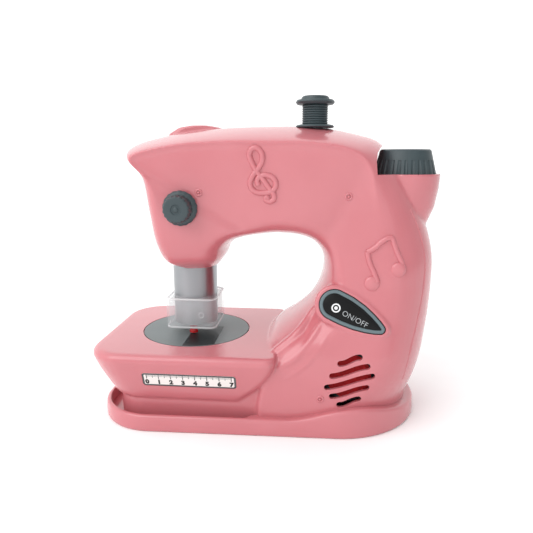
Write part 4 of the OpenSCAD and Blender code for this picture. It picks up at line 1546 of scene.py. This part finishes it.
@dataclass
class Ornaments:
    """Raised clef, notes and small moulding marks on the front."""

    clef_stroke: tuple[Point2, ...] = (
        (-1.7, 137.2),
        (-2.4, 139.7),
        (-0.4, 142.0),
        (3.2, 142.4),
        (6.9, 140.2),
        (7.6, 137.0),
        (5.6, 134.0),
        (0.8, 133.0),
        (-4.0, 134.0),
        (-6.2, 137.2),
        (-5.2, 141.4),
        (-1.6, 146.2),
        (0.4, 151.2),
        (-0.8, 155.4),
        (-3.9, 156.8),
        (-6.4, 154.2),
        (-5.4, 149.6),
        (-2.6, 144.4),
        (0.8, 140.2),
        (4.0, 135.6),
        (6.8, 131.2),
        (5.8, 128.9),
        (3.2, 128.8),
        (1.8, 130.0),
    )
    stroke_r: float = 1.55
    stroke_sunk: float = 0.05
    clef_dot: Point2 = (2.8, 130.2)
    clef_dot_r: float = 2.0
    clef_dot_rise: float = 1.2
    stems: tuple[tuple[Point2, ...], ...] = (
        ((57.6, 101.8), (58.6, 97.0), (61.6, 90.0), (63.4, 85.6)),
        ((70.6, 109.0), (72.8, 103.0), (75.6, 97.0), (77.2, 93.0)),
        ((57.4, 101.6), (61.0, 103.6), (65.4, 107.6), (69.4, 109.4), (71.0, 108.6)),
    )
    heads: tuple[tuple[float, float, float], ...] = ((60.4, 84.6, 4.2), (74.2, 92.2, 4.1))
    head_rise: float = 1.6
    crease: tuple[Point2, ...] = (
        (80.5, 124.0),
        (85.0, 115.0),
        (88.6, 104.0),
        (90.2, 92.0),
        (89.4, 78.0),
        (86.2, 60.0),
        (82.0, 42.0),
        (79.5, 30.0),
    )
    crease_r: float = 0.7
    crease_sunk: float = 0.7
    pips: tuple[Point2, ...] = ((-34.9, 132.8), (46.7, 131.2), (33.7, 21.2))
    pip_r: float = 1.6
    pip_rod_r: float = 0.55
    pip_knots: int = 17
    pip_core_r: float = 0.75
    pip_core_rise: float = 0.9
    bead_root: float = -1.0
    bead_steps: int = 8
    bead_segments: int = 40

    def ridge(
        self,
        name: str,
        path: Sequence[Point2],
        radius: float,
        sunk: float,
        body: MouldedBody,
    ) -> None:
        """Raises a rounded ridge along a path on the front.

        Args:
            name: The object's name.
            path: Places along X and Z in millimetres.
            radius: The ridge's radius.
            sunk: Share of the radius that lies under the surface.
            body: The body that it is moulded on.
        """
        made = tube(name, [(x, body.on_front(x, z) + sunk * radius, z) for x, z in path], radius)
        made.data.materials.append(PINK_ABS.material())
        show(made, "housing", 60)

    def bead(self, name: str, x: float, z: float, radius: float, rise: float, body: MouldedBody) -> None:
        """Raises a low round bead on the front.

        Args:
            name: The object's name.
            x: Place along X in millimetres.
            z: Place along Z in millimetres.
            radius: The bead's radius.
            rise: How far it stands out.
            body: The body that it is moulded on.
        """
        angles = np.linspace(0, math.pi / 2, self.bead_steps)
        dome = [(radius * math.cos(a), rise * math.sin(a)) for a in angles[:-1]]
        profile = [(0, self.bead_root), (radius, self.bead_root), *dome, (0, rise)]
        made = lathe(name, profile, self.bead_segments, PINK_ABS)
        show(stand_on_face(made, (x, body.on_front(x, z), z), 90), "housing", 60)

    def build(self, body: MouldedBody) -> None:
        """Raises all ornaments.

        Args:
            body: The body that they are moulded on.
        """
        self.ridge("clef_ridge", self.clef_stroke, self.stroke_r, self.stroke_sunk, body)
        self.ridge("column_crease", self.crease, self.crease_r, self.crease_sunk, body)
        self.bead("clef_end", *self.clef_dot, self.clef_dot_r, self.clef_dot_rise, body)
        for number, stem in enumerate(self.stems):
            self.ridge(f"note_stem_{number}", stem, self.stroke_r, self.stroke_sunk, body)
        for number, (x, z, radius) in enumerate(self.heads):
            self.bead(f"note_head_{number}", x, z, radius, self.head_rise, body)
        turn = np.linspace(0, 2 * math.pi, self.pip_knots)
        for number, (x, z) in enumerate(self.pips):
            ring = [(x + self.pip_r * math.cos(a), z + self.pip_r * math.sin(a)) for a in turn]
            self.ridge(f"moulding_pip_{number}", ring, self.pip_rod_r, 0.0, body)
            self.bead(f"moulding_pip_core_{number}", x, z, self.pip_core_r, self.pip_core_rise, body)


@dataclass
class Grille:
    """The wavy slots in front of the speaker."""

    x: float = 49.4
    z: float = 32.0
    half_w: float = 1.65
    pitch: float = 5.9
    slope_deg: float = 14.0
    wave: float = 0.7
    wave_bend: float = 2.27
    lengths: tuple[float, ...] = (10.4, 18.9, 24.2, 18.6, 10.2)
    line_points: int = 25
    end_points: int = 10
    slot_y: Point2 = (-60.0, -34.0)

    def outline(self, number: int) -> np.ndarray:
        """Draws one slot with round ends.

        Args:
            number: The slot's number from the top.

        Returns:
            Points along X and Z, in order.
        """
        half = self.lengths[number] / 2
        level = self.z + (len(self.lengths) // 2 - number) * self.pitch
        u = np.linspace(-half, half, self.line_points)
        rise = u * math.tan(math.radians(self.slope_deg))
        line = np.c_[self.x + u, level + rise + self.wave * np.sin(self.wave_bend * u / half)]
        run = np.gradient(line, axis=0)
        side = np.c_[-run[:, 1], run[:, 0]] / np.linalg.norm(run, axis=1)[:, None] * self.half_w
        start, end = math.atan2(*side[0][::-1]), math.atan2(*side[-1][::-1])
        bend = np.linspace(0, math.pi, self.end_points)
        tail = line[-1] + self.half_w * np.c_[np.cos(end - bend), np.sin(end - bend)]
        nose = line[0] - self.half_w * np.c_[np.cos(start - bend), np.sin(start - bend)]
        return np.vstack([line[1:-1] + side[1:-1], tail, (line[1:-1] - side[1:-1])[::-1], nose])

    def cutters(self) -> list[bpy.types.Object]:
        """Returns one cutting solid for each slot."""
        numbers = range(len(self.lengths))
        return [prism(f"grille_slot_{number}", self.outline(number), *self.slot_y) for number in numbers]


@dataclass
class Studio:
    """Camera, pale floor and soft light.

    Each soft box has a name, a place and a width in metres, and a power in watts.
    """

    camera_mm: Point3 = (29.6, -311.0, 152.8)
    pitch_deg: float = 12.1
    turn_deg: float = 5.5
    lens: float = 35.0
    sensor: float = 36.0
    clip_start: float = 0.01
    floor_reach: float = 4000.0
    dim_side: Point3 = (0.75, -0.66, 0.0)
    dim_from: Point2 = (-0.05, 0.75)
    dim_to: Point2 = (1.3, 0.45)
    aim: Point3 = (0.0, 0.0, 0.08)
    soft_boxes: tuple[tuple[str, Point3, float, float], ...] = (
        ("key_box", (-0.7, -0.7, 1.0), 1.1, 8.0),
        ("fill_box", (0.3, -1.1, 0.3), 1.3, 3.0),
    )

    def light(self, name: str, place: Point3, size: float, power: float) -> None:
        """Hangs one soft box that faces the object.

        Args:
            name: The light's name.
            place: Its place in metres.
            size: Its width in metres.
            power: Its power in watts.
        """
        lamp = bpy.data.lights.new(name, "AREA")
        lamp.energy = power
        lamp.size = size
        holder = link(name, lamp)
        holder.location = place
        holder.rotation_euler = (Vector(self.aim) - Vector(place)).to_track_quat("-Z", "Y").to_euler()

    def camera(self) -> None:
        """Stands the camera where the photograph was taken from."""
        view = bpy.data.cameras.new("photo_view")
        view.lens = self.lens
        view.sensor_width = self.sensor
        view.clip_start = self.clip_start
        holder = link("photo_view", view)
        holder.location = Vector(self.camera_mm) * MM
        holder.rotation_euler = (math.radians(90 - self.pitch_deg), 0, math.radians(self.turn_deg))
        bpy.context.scene.camera = holder

    def sky(self) -> None:
        """Makes a white sky that is dimmer in front at the right."""
        world = bpy.data.worlds.new("studio_sky")
        world.use_nodes = True
        tree = world.node_tree
        way = add_node(tree, "ShaderNodeTexCoord")
        facing = add_node(tree, "ShaderNodeVectorMath", {"operation": "DOT_PRODUCT"})
        tree.links.new(way.outputs["Generated"], facing.inputs[0])
        facing.inputs[1].default_value = self.dim_side
        settings = dict(zip(("From Min", "From Max", "To Min", "To Max"), (*self.dim_from, *self.dim_to)))
        dim = add_node(tree, "ShaderNodeMapRange", settings, Value=facing.outputs["Value"])
        dome = tree.nodes["Background"]
        dome.inputs["Color"].default_value = (1, 1, 1, 1)
        tree.links.new(dim.outputs["Result"], dome.inputs["Strength"])
        bpy.context.scene.world = world

    def build(self) -> None:
        """Sets up the studio."""
        self.camera()
        reach = self.floor_reach
        corners = ((-reach, -reach, 0), (reach, -reach, 0), (reach, reach, 0), (-reach, reach, 0))
        make_object("studio_floor", corners, [(0, 1, 2, 3)], FLOOR_PAPER)
        self.sky()
        bpy.context.scene.view_settings.view_transform = "Standard"
        for box in self.soft_boxes:
            self.light(*box)


CAD_FINISHES: dict[str, Finish] = {
    "battery_door": PINK_ABS,
    "battery_screw": STEEL,
    "base_screws": STEEL,
    "shell_screws": STEEL,
    "inner_screws": STEEL,
    "battery_cells": CELL_SLEEVE,
    "battery_contacts": STEEL,
    "throat_plate": GREY_PAINT,
    "slide_plate": DARK_ABS,
    "needle_sleeve": SILVER_SKIN,
    "needle_bar": NYLON,
    "needle_tip": RED_PS,
    "gear_frame": DARK_ABS,
    "drive_axles": STEEL,
    "crank_gear": NYLON,
    "idler_gear": NYLON,
    "motor_pinion": BRASS,
    "motor": STEEL,
    "lamp": LENS,
    "knob_bush": DARK_ABS,
    "knob_clip": STEEL,
    "hand_wheel": SLATE_ABS,
    "wheel_bush": DARK_ABS,
    "wheel_screw": STEEL,
    "spool": SLATE_ABS,
    "spool_pin": STEEL,
    "push_switch": DARK_ABS,
    "circuit_board": BOARD,
    "speaker": RED_CLOTH,
    "speaker_clamp": DARK_ABS,
}


def dress_cad_nodes() -> None:
    """Gives every solid that still shows its finish."""
    for name, finish in CAD_FINISHES.items():
        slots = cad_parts[name].data.materials
        for k in range(len(slots)):
            slots[k] = finish.material()
        if not slots:
            slots.append(finish.material())


def main() -> None:
    """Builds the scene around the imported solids."""
    logging.basicConfig(level=logging.INFO, format="%(message)s")
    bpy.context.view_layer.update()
    Studio().build()
    body, button, ruler = MouldedBody(), PushButton(), RulerStrip()
    body.build([button.surround()], [button.opening(), ruler.recess(), *Grille().cutters()])
    Plinth().build(body)
    button.build()
    ruler.build()
    NeedleGuard().build()
    FrontKnob().build()
    Ornaments().build(body)
    dress_cad_nodes()


if __name__ == "__main__":
    main()
